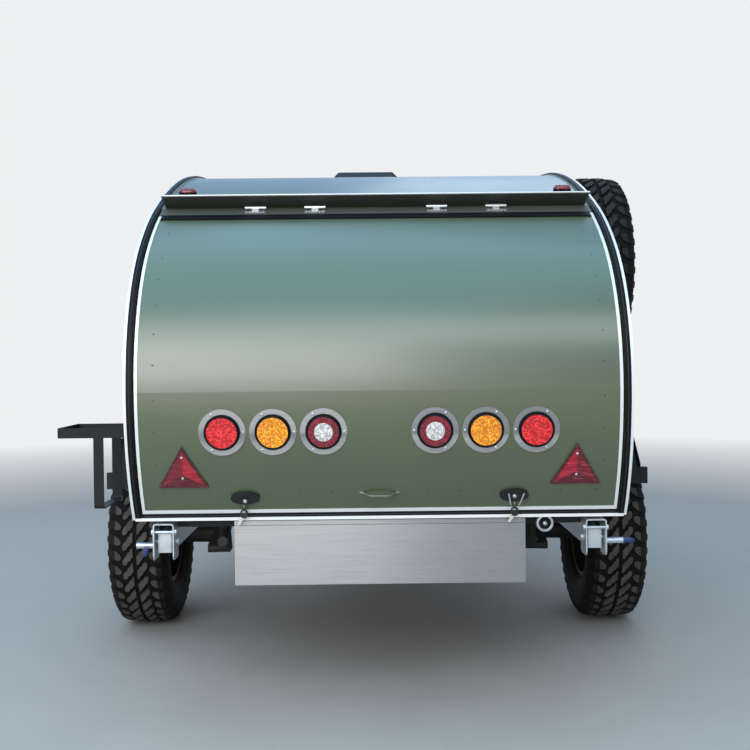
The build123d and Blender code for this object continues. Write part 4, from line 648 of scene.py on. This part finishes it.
def block_row(outline, height, scuff, mirror):
    """One block's sides rise from just under the carcass, lean in, and end in a chamfer and a top
    face; the same block is laid at every pitch round the tyre. Returns the shape and a number for
    each point: its block's scuff on the top, less on the chamfer, 0 at the foot, where the finish
    paints groove shade."""
    flat = np.array(outline, float) / 1000 * mirror
    centre = flat.mean(0)
    # Columns: how far in from the outline, height over the carcass
    rings = np.array([(-0.03, -0.003), (0.0, height - 0.0012), (0.05, height)])
    lines = [centre + (flat - centre) * (1 - inset) for inset, _ in rings]
    corners = len(flat)
    starts = np.arange(PITCHES)[:, None, None] * TREAD_LENGTH
    across = np.broadcast_to(np.stack([line[:, 0] for line in lines]), (PITCHES, 3, corners))
    around = np.stack([line[:, 1] for line in lines])[None] + starts
    out = np.broadcast_to(rings[:, 1][None, :, None], across.shape)
    points = on_carcass(around, across, out).reshape(-1, 3)
    step = (np.arange(PITCHES) * 3 * corners)[:, None, None]
    sides, _, top = tube_faces(3, corners)
    faces = [(sides[None] + step).reshape(-1, 4), (top[None] + step).reshape(-1, corners)]
    scuff_and_groove_shade = np.tile(np.repeat((0.0, 0.45 * scuff, scuff), corners), PITCHES)
    return (points, faces), scuff_and_groove_shade


# %% Tyre shape
CARCASS_SIDES = 190
# Columns: how far across the rib lies, half its width, its height
RIBS = [(0.150, 0.004, 0.0012), (0.205, 0.005, 0.0015)]


def tyre_shape():
    """The carcass, turned about X as a grid of section against angle with fine ribs on its sides,
    and the rows of blocks on both halves. The section runs from bead to bead and closes inside
    the rim."""
    across = np.concatenate((-across_half[::-1], across_half[1:]))
    around = round_angles(CARCASS_SIDES)[:, None] * TREAD_RADIUS
    ribs = sum(rise * (np.abs(np.abs(across) - at) < reach) for at, reach, rise in RIBS)
    grid = on_carcass(around, across[None] + 0 * around, ribs[None]).reshape(-1, 3)
    shapes = [(grid, [grid_faces(CARCASS_SIDES, len(across), True, True)])]
    scuff_and_groove_shade = [np.zeros(len(grid))]
    for mirror in (1, -1):
        for outline, height, scuff in BLOCKS:
            shape, scuff_and_shade = block_row(outline, height, scuff, mirror)
            shapes.append(shape)
            scuff_and_groove_shade.append(scuff_and_shade)
    return join(shapes), np.concatenate(scuff_and_groove_shade)


# %% [markdown]
# The tops of the blocks are scuffed grey-brown by the road. The grooves, the feet of the blocks
# and the sides of the tyre are a black darker than plain rubber: the rubber's own black, with
# painted shade for the grooves. The mesh carries the scuff as a number on each point, so the
# finish follows the blocks as they turn. The spare wheel has hardly run, so its number is small.

# %% Tyre finish
tree, shader = finish("worn_tread_and_groove_shade", (0.007, 0.007, 0.007), 0.74, Specular_IOR_Level=0.15)
effect = placed(tree, peel, Fine_Scale=260.0, Patch_Scale=30.0, Bump=0.35, Height=0.0006)
scuff_and_shade = node(tree, "Attribute", attribute_name="scuff_and_groove_shade").outputs["Fac"]
scuff_and_shade_mask = calc(tree, "MULTIPLY", scuff_and_shade, spread(tree, effect["Patches"], 0.55, 1.0), use_clamp=True)
# the low shade is darker than plain rubber: the rubber's black with painted shade for the grooves
rubber = blend_shades(tree, scuff_and_shade_mask, (0.0055, 0.0052, 0.0052), (0.118, 0.106, 0.096))
feed(tree, shader, Base_Color=dusted(tree, rubber, 0.5, 0.04), Normal=effect["Normal"])

# %% Three tyres
def box_of(solid):
    """Lowest corner, highest corner and middle of a solid's box."""
    low, high = (np.array(corner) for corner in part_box(solid))
    return low, high, (low + high) / 2


tyre, scuff_and_groove_shade = tyre_shape()
# Columns: piece, solid it stands for, body, which way its outer side faces, how much it has run
TYRES = [("tread_left", "tyre_left", "wheel_left", -1, 1.0),
         ("tread_right", "tyre_right", "wheel_right", 1, 1.0),
         ("tread_spare", "spare_tyre", "trailer", 1, 0.3)]
for name, solid, body, _, run in TYRES:
    piece(name, (tyre[0] + box_of(solid)[2], tyre[1]), "worn_tread_and_groove_shade", body, 30, (solid,),
          {"scuff_and_groove_shade": scuff_and_groove_shade * run})

# %% [markdown]
# ## Springs
#
# A coil spring is a round wire on a helix whose first and last turn lie flat against their seats.
# The height of the path is therefore not a straight line of the angle but eases at both ends.

# %% Pipe along a path
def pipe(path, radius, sides=8, closed=False):
    """A round tube along a path. Each ring lies in the plane square to the path, on two axes that
    are carried from point to point without twist; radius may differ from point to point."""
    path = np.asarray(path, float)
    count = len(path)
    along = np.roll(path, -1, 0) - np.roll(path, 1, 0) if closed else np.gradient(path, axis=0)
    along /= np.linalg.norm(along, axis=1)[:, None]
    first = np.cross(along[0], (0.31, 0.17, 0.93))      # any direction that no path here takes
    across = np.zeros_like(path)
    across[0] = first / np.linalg.norm(first)
    for k in range(1, count):
        flat = across[k - 1] - along[k] * np.dot(across[k - 1], along[k])
        across[k] = flat / np.linalg.norm(flat)
    angle = round_angles(sides)[None, :, None]
    ring = across[:, None] * np.cos(angle) + np.cross(along, across)[:, None] * np.sin(angle)
    radius = np.broadcast_to(np.asarray(radius, float), (count,))[:, None, None]
    return (path[:, None] + radius * ring).reshape(-1, 3), tube_faces(count, sides, closed)


# %% Coil springs
COIL_WIRE, COIL_OUTER, COIL_TURNS = 0.0065, 0.048, 6.5
FLAT_TURNS = 0.9                  # turns at each end that hardly climb
FLAT_CLIMB = 0.06                 # share of the height that is climbed evenly, flat turns too


def coil(centre, low, high):
    """x = cx + r cos t, y = cy + r sin t, and z follows t with an ease at both ends, so the end
    turns lie nearly flat. The wire's radius is kept, so the coil reaches low and high exactly."""
    t = np.linspace(0, 1, 26 * int(COIL_TURNS) + 1)
    pitch = np.clip((t * COIL_TURNS - FLAT_TURNS) / (COIL_TURNS - 2 * FLAT_TURNS), 0, 1)
    climb = FLAT_CLIMB * t + (1 - FLAT_CLIMB) * pitch
    turn, radius = t * COIL_TURNS * 2 * pi, COIL_OUTER - COIL_WIRE
    path = np.stack((centre[0] + radius * np.cos(turn), centre[1] + radius * np.sin(turn),
                     low + COIL_WIRE + climb * (high - low - 2 * COIL_WIRE)), 1)
    return pipe(path, COIL_WIRE, 10)


low, high, middle = box_of("coil_springs")
coils = join([coil((side * (high[0] - COIL_OUTER), middle[1]), low[2], high[2])
              for side in (-1, 1)])
piece("spring_coils", coils, "black_steel", "trailer", 60, ("coil_springs",))

# %% [markdown]
# ## The skin's outline
#
# Rivets and screws sit on the curved hatch, so their places come from the outline that the hatch
# was bent to: six arcs, each tangent to the next, walked by their heading.

# %% Outline of the body
BULGE_Y, BULGE_Z, BODY_BOTTOM = -2.0805, 1.010, 0.625
# Columns: radius, heading where the arc ends, in degrees
ARCS = np.array([(0.770, 90), (0.580, 40), (1.100, 26.2), (2.970, -8), (0.850, -78), (1.200, -102)])
foot_heading = 90 + np.degrees(np.arcsin((BULGE_Z - BODY_BOTTOM) / ARCS[0, 0]))
arc_starts = np.radians(np.concatenate(([foot_heading], ARCS[:-1, 1])))
arc_ends = np.radians(ARCS[:, 1])
chords = ARCS[:, :1] * np.stack((np.sin(arc_starts) - np.sin(arc_ends),
                                 np.cos(arc_ends) - np.cos(arc_starts)), 1)
outline_foot = np.array((BULGE_Y + ARCS[0, 0] * (1 - np.sin(arc_starts[0])), BODY_BOTTOM))
arc_feet = outline_foot + np.concatenate((np.zeros((1, 2)), np.cumsum(chords, 0)[:-1]))
arc_centres = arc_feet + ARCS[:, :1] * np.stack((np.sin(arc_starts), -np.cos(arc_starts)), 1)
print("top of the roof:", round(arc_centres[3, 1] + ARCS[3, 0], 3), "m")


def on_skin(x, heading, out=0.0):
    """Point and axes of the skin at a heading in degrees: y = cy - (r + out) sin h,
    z = cz + (r + out) cos h on the arc that holds the heading. The third axis points outwards."""
    heading = np.atleast_1d(np.asarray(heading, float))
    arc = np.argmax(heading[:, None] >= ARCS[None, :, 1], axis=1)
    turn, zeros = np.radians(heading), np.zeros_like(heading)
    normal = np.stack((zeros, -np.sin(turn), np.cos(turn)), 1)
    right = np.stack((zeros + 1, zeros, zeros), 1)
    places = np.c_[np.broadcast_to(x, heading.shape), arc_centres[arc]]
    places = places + (ARCS[arc, :1] + out) * normal
    return places, np.stack((right, np.cross(normal, right), normal), 2)


def heading_at_height(z):
    """Heading of the rear face at a height: the sine of its lean from upright is the height over
    or under the arc's centre, divided by the radius."""
    z = np.atleast_1d(np.asarray(z, float))
    arc = np.where(z < BULGE_Z, 0, 1)
    return 90 + np.degrees(np.arcsin((arc_centres[arc, 1] - z) / ARCS[arc, 0]))


def skin_spot(heading, out=0.0):
    """One place on the middle line of the skin, and its axes."""
    places, axes = on_skin(0.0, heading, out)
    return places[0], axes[0]


def laid_on(spot, flat):
    """Places on the skin, each given as across, along and out from a spot."""
    return np.asarray(flat, float) @ spot[1].T + spot[0]


# %% [markdown]
# ## Rivets and screws
#
# Each fastener is a few rings turned about its own axis, and the one shape is copied to all its
# places. The flat rivets of the hatch are painted over and only show as small glints, and their
# paint is darker than the body's as a painted shade round each; the screws of the lamps are
# bright pan heads with a recess.

# %% Fastener shapes
def turned(profile, sides, start=0.0, ring=False):
    """A profile of (radius, height) points turned about Z: x = r cos a, y = r sin a, z = height.
    A ring's profile is closed on itself; any other ends in one flat face, or nearly on the axis."""
    profile = np.array(profile, float)
    angle, radius, height = start + round_angles(sides), profile[:, :1], profile[:, 1:]
    points = np.stack(np.broadcast_arrays(
        radius * np.cos(angle), radius * np.sin(angle), height), -1).reshape(-1, 3)
    return points, tube_faces(len(profile), sides, ring)


def copies(shape, axes, places):
    """A copy of a shape for each 3 x 3 matrix of axes and each place: point = axes @ p + place."""
    points, faces = shape
    axes, places = np.asarray(axes, float), np.asarray(places, float)
    axes = np.broadcast_to(axes, (len(places), 3, 3))
    moved = np.einsum("kij,nj->kni", axes, points) + places[:, None, :]
    step = (np.arange(len(places)) * len(points))[:, None, None]
    faces = [(block[None] + step).reshape(-1, block.shape[1]) for block in faces]
    return moved.reshape(-1, 3), faces


RIVET = turned([(0.0001, 0.0009), (0.0016, 0.0007), (0.0026, 0.0001), (0.0027, -0.0006)], 14)
SCREW = turned([(0.0009, 0.0010), (0.0013, 0.0023), (0.0030, 0.0018), (0.0040, 0.0006),
                (0.0041, -0.0008)], 16)

# %% Rivets along the hatch
HATCH_SKIN = -0.003               # the hatch lies this far under the outline
RIVET_SIDE, RIVET_FOOT = 0.667, 0.701
side_headings = np.concatenate((heading_at_height(np.arange(0.793, 1.01, 0.0975)),
                                90 - np.arange(8.0, 58.0, 9.4)))
rows = [on_skin(side * RIVET_SIDE, side_headings, HATCH_SKIN) for side in (-1, 1)]
foot = np.array((0.143, 0.241, 0.340, 0.546, 0.652))
foot = np.concatenate((-foot[::-1], foot))
rows.append(on_skin(foot, np.full(len(foot), heading_at_height(RIVET_FOOT)[0]), HATCH_SKIN))
places, axes = (np.concatenate(column) for column in zip(*rows))
piece("hatch_rivets", copies(RIVET, axes, places), "rivet_painted_shade", "hatch", 50)

# %% Lamp screws
LAMP_X, LAMP_Z = np.array((0.465, 0.315, 0.165)), 0.890
FLANGE_THICK, SCREW_RING = 0.0033, 0.0617
lamp_face = skin_spot(heading_at_height(LAMP_Z), HATCH_SKIN + FLANGE_THICK)
flat = []
for side, angles in ((-1, (0, 120, 240)), (1, (180, 60, -60))):
    turn = np.radians(angles)
    ring = SCREW_RING * np.stack((np.cos(turn), np.sin(turn), 0 * turn), 1)
    flat += [ring + (side * x, 0, 0) for x in LAMP_X]
piece("lamp_screws", copies(SCREW, lamp_face[1], laid_on(lamp_face, np.concatenate(flat))),
      "hinge_steel", "hatch", 40)

# %% [markdown]
# A dark rubber lip grips each lens at its edge, which makes the lamps look deep. It is a closed
# ring of a small section, so it is turned like a screw but closed in both directions.

# %% Lamp lips
LIP = turned([(0.0455, 0.0142), (0.0470, 0.0149), (0.0500, 0.0128), (0.0512, 0.0090),
              (0.0512, 0.0060), (0.0490, 0.0060), (0.0490, 0.0110)], 48, ring=True)
lamp_foot = skin_spot(heading_at_height(LAMP_Z), HATCH_SKIN)
places = laid_on(lamp_foot, [(side * x, 0, 0) for side in (-1, 1) for x in LAMP_X])
piece("lamp_lips", copies(LIP, lamp_foot[1], places), "black_rubber", "hatch", 40)

# %% [markdown]
# ## Reflectors
#
# Each reflector is a shallow three-sided pyramid in a dark frame, held by two screws. The pyramid
# is three flat facets, so it is drawn as what it is: the triangle's corners, pulled in a little,
# and its middle, raised.

# %% Reflector facets
TRIANGLE_X, TRIANGLE_Z, TRIANGLE_SIDE, TRIANGLE_THICK = 0.587, 0.765, 0.150, 0.0073
FRAME_EDGE, FACET_RISE = 0.0065, 0.0035
# the light and shade of each facet are painted: 1 is painted lit, less is painted shade
LIT, TOP_SHADE, FOOT_SHADE = 1.0, 0.32, 0.08      # how much light each facet catches
triangle = skin_spot(heading_at_height(TRIANGLE_Z), HATCH_SKIN + TRIANGLE_THICK)
reach = TRIANGLE_SIDE / np.sqrt(3) - 2 * FRAME_EDGE
corner_angle = np.radians((90, 210, 330))
facet_shapes, facet_painted_lit, facet_screws = [], [], []
for side in (-1, 1):
    ridge = np.array((side * TRIANGLE_X, 0.0, FACET_RISE))
    corners = np.stack((side * TRIANGLE_X + reach * np.cos(corner_angle),
                        reach * np.sin(corner_angle), 0 * corner_angle), 1)
    for k in range(3):
        near, far = corners[k], corners[(k + 1) % 3]
        inward = (ridge - (near + far) / 2)[0] * side > 0.002
        facet_shapes.append((np.stack((near, far, ridge)), [np.array([[0, 1, 2]])]))
        facet_painted_lit.append(np.full(3, LIT if inward else (FOOT_SHADE if k == 1 else TOP_SHADE)))
    facet_screws += [(side * TRIANGLE_X, 0.055, 0.0004), (side * TRIANGLE_X, -0.011, FACET_RISE)]
facets = join(facet_shapes)
piece("reflector_facets", (laid_on(triangle, facets[0]), facets[1]), "reflector_red",
      "hatch", 1, attributes={"painted_lit": np.concatenate(facet_painted_lit)})
piece("reflector_screws", copies(SCREW, triangle[1], laid_on(triangle, facet_screws)),
      "hinge_steel", "hatch", 40)


# %% [markdown]
# ## Locks and keys
#
# Each latch has a bright lock cylinder, and both keys were left in: a black ring-shaped head that
# hangs over the sill, with a small metal tag below it. A flat part with a hole is a ring of four
# lines, outer and inner, front and back, so it is closed all round.

# %% Flat shapes
def oval(across, tall, count=24):
    """Points of an ellipse: x = a cos t, y = b sin t."""
    turn = round_angles(count)
    return np.stack((across / 2 * np.cos(turn), tall / 2 * np.sin(turn)), 1)


def slab(outline, thickness):
    """A plate: its outline at z = 0 and at z = thickness, closed by two faces."""
    outline = np.asarray(outline, float)
    points = np.concatenate([np.c_[outline, np.full(len(outline), z)] for z in (0.0, thickness)])
    return points, tube_faces(2, len(outline))


def flat_ring(outer, inner, thickness):
    """A plate with a hole: two closed outlines with as many points, outer and inner, at z = 0 and
    at z = thickness. Faces join outer back, outer front, inner front and inner back in a circle."""
    outer, inner = np.asarray(outer, float), np.asarray(inner, float)
    rows = [np.c_[line, np.full(len(line), z)] for line, z in
            ((outer, 0.0), (outer, thickness), (inner, thickness), (inner, 0.0))]
    return np.concatenate(rows), tube_faces(4, len(outer), closed=True)


# %% Lock cylinders
LATCH_X, LATCH_Z, LATCH_THICK = 0.405, 0.690, 0.0153
latch = skin_spot(heading_at_height(LATCH_Z), HATCH_SKIN + LATCH_THICK)
CYLINDER = turned([(0.0001, 0.0044), (0.0012, 0.0044), (0.0015, 0.0032), (0.0048, 0.0036),
                   (0.0058, 0.0028), (0.0060, 0.0)], 24)
places = laid_on(latch, [(-LATCH_X, -0.006, 0.0), (LATCH_X, 0.002, 0.0)])
piece("lock_cylinders", copies(CYLINDER, latch[1], places), "hinge_steel", "hatch", 40)

# %% Keys and tags
KEY_HEAD = flat_ring(oval(0.025, 0.029), oval(0.011, 0.008) + (-0.001, 0.005), 0.0024)
KEY_TAG = slab([(-0.004, 0), (0.004, 0), (0.004, -0.023), (0.0, -0.026), (-0.004, -0.023)], 0.0008)
KEY_Y, TAG_SWING = -1.999, radians(-35)
UPRIGHT = np.array([(1, 0, 0), (0, 0, -1), (0, 1, 0)], float)
tag_axes = UPRIGHT @ np.array([(cos(TAG_SWING), -sin(TAG_SWING), 0),
                               (sin(TAG_SWING), cos(TAG_SWING), 0), (0, 0, 1)])
heads, tags = [], []
for x, low_z in ((-LATCH_X - 0.006, 0.6385), (LATCH_X + 0.003, 0.6365)):
    hang = np.array((x, KEY_Y, low_z))
    heads.append(copies(KEY_HEAD, UPRIGHT, [hang]))
    tags += [copies(KEY_TAG, tag_axes, [hang + (-0.004, 0.0008, -0.012)]),
             pipe([(x, -2.000, 0.657), (x - 0.001, -2.006, 0.668), (x + 0.001, -2.012, 0.678)],
                  0.0013, 6)]
piece("key_heads", join(heads), "black_plastic", "hatch", 40)
piece("key_tags", join(tags), "tag_grey", "hatch", 40)

# %% Open paddle of the right latch
def sheet_along(path, width_axis, width, thickness):
    """A flat bar bent along a path: at each point a rectangle, width along width_axis and
    thickness along the path's own normal, joined from point to point and closed at both ends."""
    path = np.asarray(path, float)
    wide = np.asarray(width_axis, float) / np.linalg.norm(width_axis)
    along = np.gradient(path, axis=0)
    along /= np.linalg.norm(along, axis=1)[:, None]
    normal = np.cross(along, wide)
    normal /= np.linalg.norm(normal, axis=1)[:, None]
    corners = [(-0.5, -0.5), (0.5, -0.5), (0.5, 0.5), (-0.5, 0.5)]
    points = np.stack([path + wide * width * a + normal * thickness * b for a, b in corners], 1)
    return points.reshape(-1, 3), tube_faces(len(path), 4)


paddle = []
for low_x, high_x in ((LATCH_X - 0.010, LATCH_X - 0.018), (LATCH_X + 0.015, LATCH_X + 0.028)):
    line = [(low_x, -0.030, 0.001), ((low_x + high_x) / 2, -0.009, 0.004), (high_x, 0.011, 0.0012)]
    paddle.append(sheet_along(laid_on(latch, line), (1, 0, 0), 0.0042, 0.0018))
piece("latch_bars", join(paddle), "hinge_steel", "hatch", 30)

# %% [markdown]
# The pull under the lamps is a bow of bent rod: two flattened feet lie on the skin, and the grip
# between them stands about two fingers away. A pipe along a path makes it, whose points are given
# as a place across and a height over the skin.

# %% Bow handle
BOW_Z, BOW_ROD, BOW_FOOT = 0.698, 0.0042, 0.0545
# Columns: across, over the skin, in millimetres
BOW = np.array([(-61, 1.5), (-50, 2.2), (-44, 5), (-36, 14), (-31, 18.5), (-24, 20), (0, 20.5),
                (24, 20), (31, 18.5), (36, 14), (44, 5), (50, 2.2), (61, 1.5)]) / 1000
bow = skin_spot(heading_at_height(BOW_Z), HATCH_SKIN)
bow_line = laid_on(bow, rounded(np.c_[BOW[:, 0], 0 * BOW[:, 0], BOW[:, 1]], 2))
foot = turned([(0.0001, 0.0032), (0.0055, 0.0030), (0.0072, 0.0016), (0.0075, -0.0008)], 20)
feet = copies(foot, bow[1], laid_on(bow, [(side * BOW_FOOT, 0, 0) for side in (-1, 1)]))
piece("bow_handle", join([pipe(bow_line, BOW_ROD, 12), feet]), slot_of["hatch_handle"], "hatch", 50,
      ("hatch_handle",))

# %% [markdown]
# ## Seals, beads and edges
#
# The black seal between the trims has a rounded bead along its middle that catches a line of
# light, and so has the visor's rolled lip. Both are thin round bars that follow a line: the first
# the outline of the body, the second the width of the visor.

# %% Places along the outline
reached = np.concatenate(([0], np.cumsum(ARCS[:, 0] * (arc_starts - arc_ends))))
edge_headings = np.degrees(np.concatenate((arc_starts[:1], arc_ends)))
print("round the side:", round(reached[-1], 3), "m")


def headings_along(lengths):
    """Heading at each length walked along the outline: it changes evenly within each arc."""
    return np.interp(lengths, reached, edge_headings)


def level_bar(half_width, y, z, radius):
    """A round bar across the trailer."""
    return pipe([(x, y, z) for x in np.linspace(-half_width, half_width, 9)], radius, 8)


# %% Beads
SEAL_X = 0.735
walk = headings_along(np.linspace(0.004, reached[-1] - 0.004, 150))
beads = [pipe(on_skin(side * SEAL_X, walk, 0.0046)[0], 0.0026, 8) for side in (-1, 1)]
beads.append(level_bar(0.72, -1.9762, 0.6300, 0.0024))
piece("seal_beads", join(beads), "black_plastic", "trailer", 60)
piece("visor_lip", level_bar(0.7155, -1.6700, 1.6535, 0.0024), "silver_trim", "trailer", 60)

# %% Marker lamp feet
def rounded_rectangle(width, height, radius, corner_points=8):
    """Points of a rectangle with round corners: for corner k, centre (+-(w/2 - r), +-(h/2 - r))
    plus r (cos t, sin t), with t from k to k + 1 quarter turns."""
    turn = (np.arange(4)[:, None] + np.linspace(0, 1, corner_points)[None]) * pi / 2
    sign = np.array([(1, 1), (-1, 1), (-1, -1), (1, -1)])
    x = sign[:, :1] * (width / 2 - radius) + radius * np.cos(turn)
    y = sign[:, 1:] * (height / 2 - radius) + radius * np.sin(turn)
    return np.stack((x.ravel(), y.ravel()), 1)


MARKER_X, MARKER_Y, MARKER_SUNK = 0.666, -1.4405, -0.004
marker_sine = (arc_centres[3, 0] - MARKER_Y) / (ARCS[3, 0] + MARKER_SUNK)
marker = skin_spot(np.degrees(np.arcsin(marker_sine)), MARKER_SUNK)
marker_foot = slab(rounded_rectangle(0.0625, 0.0365, 0.0182), 0.0165)
places = laid_on(marker, [(side * MARKER_X, 0, 0) for side in (-1, 1)])
piece("marker_feet", copies(marker_foot, marker[1], places), "black_rubber", "trailer", 40)

# %% [markdown]
# ## Hinge leaves
#
# The hatch hangs on four hinges. Below each barrel a leaf lies on the top rail, as wide as the
# hinge, with a row of screws. The barrel and its middle knuckle are solids already; the thin leaf
# and its screws are added here and swing with the hatch.

# %% Leaves and screws of the hinges
HINGE_X, LEAF_Y, LEAF_THICK = np.array((-0.405, -0.205, 0.205, 0.405)), -1.6525, 0.0016
brow = np.linspace(26.3, 39.9, 60)
leaf_heading = np.interp(LEAF_Y, on_skin(0.0, brow)[0][::-1, 1], brow[::-1])
leaf = skin_spot(leaf_heading, 0.0002)
WING = slab(rounded_rectangle(0.070, 0.0235, 0.0015, 3), LEAF_THICK)
places = laid_on(leaf, [(x, 0, 0) for x in HINGE_X])
piece("hinge_wings", copies(WING, leaf[1], places), "pipe_grey", "hatch", 30)
SMALL_SCREW = (SCREW[0] * 0.75, SCREW[1])
screw_x = (HINGE_X[:, None] + np.array((-0.028, -0.017, 0.017, 0.028))[None]).ravel()
places = laid_on(leaf, [(x, -0.0045, LEAF_THICK) for x in screw_x])
piece("hinge_screws", copies(SMALL_SCREW, leaf[1], places), "hinge_steel", "hatch", 40)

# %% [markdown]
# ## Screws of the trims
#
# The silver edge trims are screwed to the walls every 150 mm. The screws' places come from the
# same walk along the outline, set in from the edge by half the flange, and their heads face
# sideways.

# %% Trim screws
def axes_for(normal, up=(0, 0, 1)):
    """A 3 x 3 matrix whose third column is the normal and whose second is as near to up as can
    be: the first is up x normal, the second normal x first."""
    z = np.asarray(normal, float) / np.linalg.norm(normal)
    x = np.cross(up, z) / np.linalg.norm(np.cross(up, z))
    return np.stack((x, np.cross(z, x), z), 1)


TRIM_PITCH, TRIM_FACE_X = 0.15, 0.7519
headings = headings_along(np.arange(0.06, reached[-1] - 0.03, TRIM_PITCH))
screws = [copies(SCREW, axes_for((side, 0, 0)), on_skin(side * TRIM_FACE_X, headings, -0.006)[0])
          for side in (-1, 1)]
piece("trim_screws", join(screws), "hinge_steel", "trailer", 40)

# %% [markdown]
# ## Wheel nuts
#
# Six nuts hold each wheel. A nut is a six-sided turned shape with a rounded end, and one ring of
# them is copied to the three wheels, facing outwards.

# %% Wheel nuts
NUT = turned([(0.0001, 0.022), (0.0050, 0.0215), (0.0092, 0.0180), (0.0105, 0.0150),
              (0.0105, 0.002), (0.0135, 0.0005), (0.0135, -0.002)], 6)
NUT_RING, NUT_COUNT = 0.0698, 6
DISC_FACE = 0.034                 # outer face of the wheel disc from the wheel's middle
turn = round_angles(NUT_COUNT) + pi / NUT_COUNT
for name, solid, body, outward, _ in TYRES:
    places = box_of(solid)[2] + np.stack((np.full(NUT_COUNT, outward * DISC_FACE),
                                          NUT_RING * np.cos(turn), NUT_RING * np.sin(turn)), 1)
    piece(name.replace("tread", "nuts"), copies(NUT, axes_for((outward, 0, 0)), places), "zinc",
          body, 30)

# %% [markdown]
# ## Doors
#
# Each window sits in a black rubber profile, and a bulb seal runs round the door. Both follow a
# rectangle with rounded corners, so the same outline helper serves them.

# %% Window rubbers and door seals
WALL_FACE_X = 0.750
WINDOW, DOOR_EDGE = rounded_rectangle(0.424, 0.384, 0.052), rounded_rectangle(0.632, 0.892, 0.092)
DOORS = [(-1, "door_left"), (1, "door_right")]
for side, name in DOORS:
    rubbers = []
    for outline, solid, radius in ((WINDOW, name.replace("door", "door_glass"), 0.0065),
                                   (DOOR_EDGE, name, 0.0035)):
        line = box_of(solid)[2][1:] + outline
        path = np.c_[np.full(len(outline), side * WALL_FACE_X), line]
        rubbers.append(pipe(path, radius, 8, closed=True))
    piece(name.replace("door", "rubbers"), join(rubbers), "black_rubber", name, 60)

# %% Door lock cylinders
LOCK_X, LOCK_Y, LOCK_Z = 0.7620, -0.190, 1.062
for side, name in DOORS:
    lock = copies(CYLINDER, axes_for((side, 0, 0)), [(side * LOCK_X, LOCK_Y, LOCK_Z)])
    piece(name.replace("door", "door_lock"), lock, "hinge_steel", name, 40)

# %% [markdown]
# ## Under the sill
#
# The tank guard is folded sheet: its top edge is bent back as a lip, which shows as a dark line
# and a bright one. Beside it hang a black drain elbow with an eight-sided cap, and the blue grips
# of the two spring plungers that hold the legs up.

# %% Lip of the tank guard
low, high, _ = box_of("water_tank")
lip_path = [(0.0, low[1] + 0.001, high[2] - 0.016), (0.0, low[1] - 0.0014, high[2] - 0.014),
            (0.0, low[1] - 0.0016, high[2] - 0.001)]
piece("tank_lip", sheet_along(lip_path, (1, 0, 0), high[0] - low[0] - 0.004, 0.0012), "stainless",
      "trailer", 20)

# %% Face of the drain fitting
REARWARDS = axes_for((0, -1, 0))
low, _, middle = box_of("drain_fitting")
drain_at = [(middle[0], low[1], middle[2])]
DRAIN_RING = turned([(0.0190, -0.001), (0.0190, 0.0030), (0.0215, 0.0048), (0.0255, 0.0042),
                     (0.0268, 0.0020), (0.0268, -0.001)], 40, ring=True)
DRAIN_BOSS = turned([(0.0001, 0.0085), (0.0045, 0.0080), (0.0070, 0.0055), (0.0078, -0.001)], 24)
piece("drain_ring", copies(join([DRAIN_RING, DRAIN_BOSS]), REARWARDS, drain_at), "zinc",
      "trailer", 40)
# a thin black disc in the groove between the ring and the boss: painted shade
piece("drain_painted_shade_disc", copies(slab(oval(0.040, 0.040, 32), 0.0006), REARWARDS, drain_at),
      "black_rubber", "trailer", 40)

# %% End caps of the legs
LEG_X, LEG_Z = 0.660, 0.545
CAP = slab(rounded_rectangle(0.0335, 0.0535, 0.003, 4), 0.0025)
for side, body in ((-1, "leg_left"), (1, "leg_right")):
    at = [(side * LEG_X, box_of(body)[0][1] + 0.0030, LEG_Z)]
    piece(body + "_cap", copies(CAP, REARWARDS, at), "zinc", body, 30)

# %% Nuts on the pins of the leg brackets
PIN_NUT = turned([(0.0001, 0.0075), (0.0070, 0.0072), (0.0088, 0.0056), (0.0088, 0.0)], 6)
PINS = [(-1.9285, LEG_Z), (-1.9685, 0.580)]      # y and z of the pivot pin and of the stop bolt
CHEEKS = [(-1, 0.628), (1, 0.692)]               # which way each cheek faces, and its face
nuts = [copies(PIN_NUT, axes_for((side * way, 0, 0)), [(side * x, *pin) for pin in PINS])
        for side in (-1, 1) for way, x in CHEEKS]
piece("bracket_nuts", join(nuts), "zinc", "trailer", 30)

# %% Drain elbow
ELBOW_X, ELBOW_RADIUS = -0.483, 0.013
elbow = [pipe([(ELBOW_X, y, z) for y, z in line], ELBOW_RADIUS, 14) for line in
         ([(-1.900, 0.570), (-1.915, 0.556), (-1.930, 0.549), (-1.946, 0.547)],
          [(-1.890, 0.600), (-1.892, 0.582), (-1.900, 0.570)])]
cap = turned([(0.0001, 0.015), (0.0155, 0.015), (0.0175, 0.013), (0.0175, 0.0)], 8, pi / 8)
elbow.append(copies(cap, REARWARDS, [(ELBOW_X, -1.944, 0.547)]))
piece("drain_elbow", join(elbow), "black_plastic", "trailer", 40)

# %% Plunger grips
GRIP = np.array((0.0062, 0.0078, 0.0080, 0.0078, 0.0070, 0.0040))      # its radius along its length
grips = [pipe(np.linspace(near, far, len(GRIP)), GRIP, 14) for near, far in
         (((-0.714, -1.974, 0.533), (-0.719, -1.974, 0.507)),
          ((0.742, -1.9585, 0.539), (0.782, -1.9585, 0.537)))]
piece("plunger_grips", join(grips), "blue_grip", "trailer", 60)
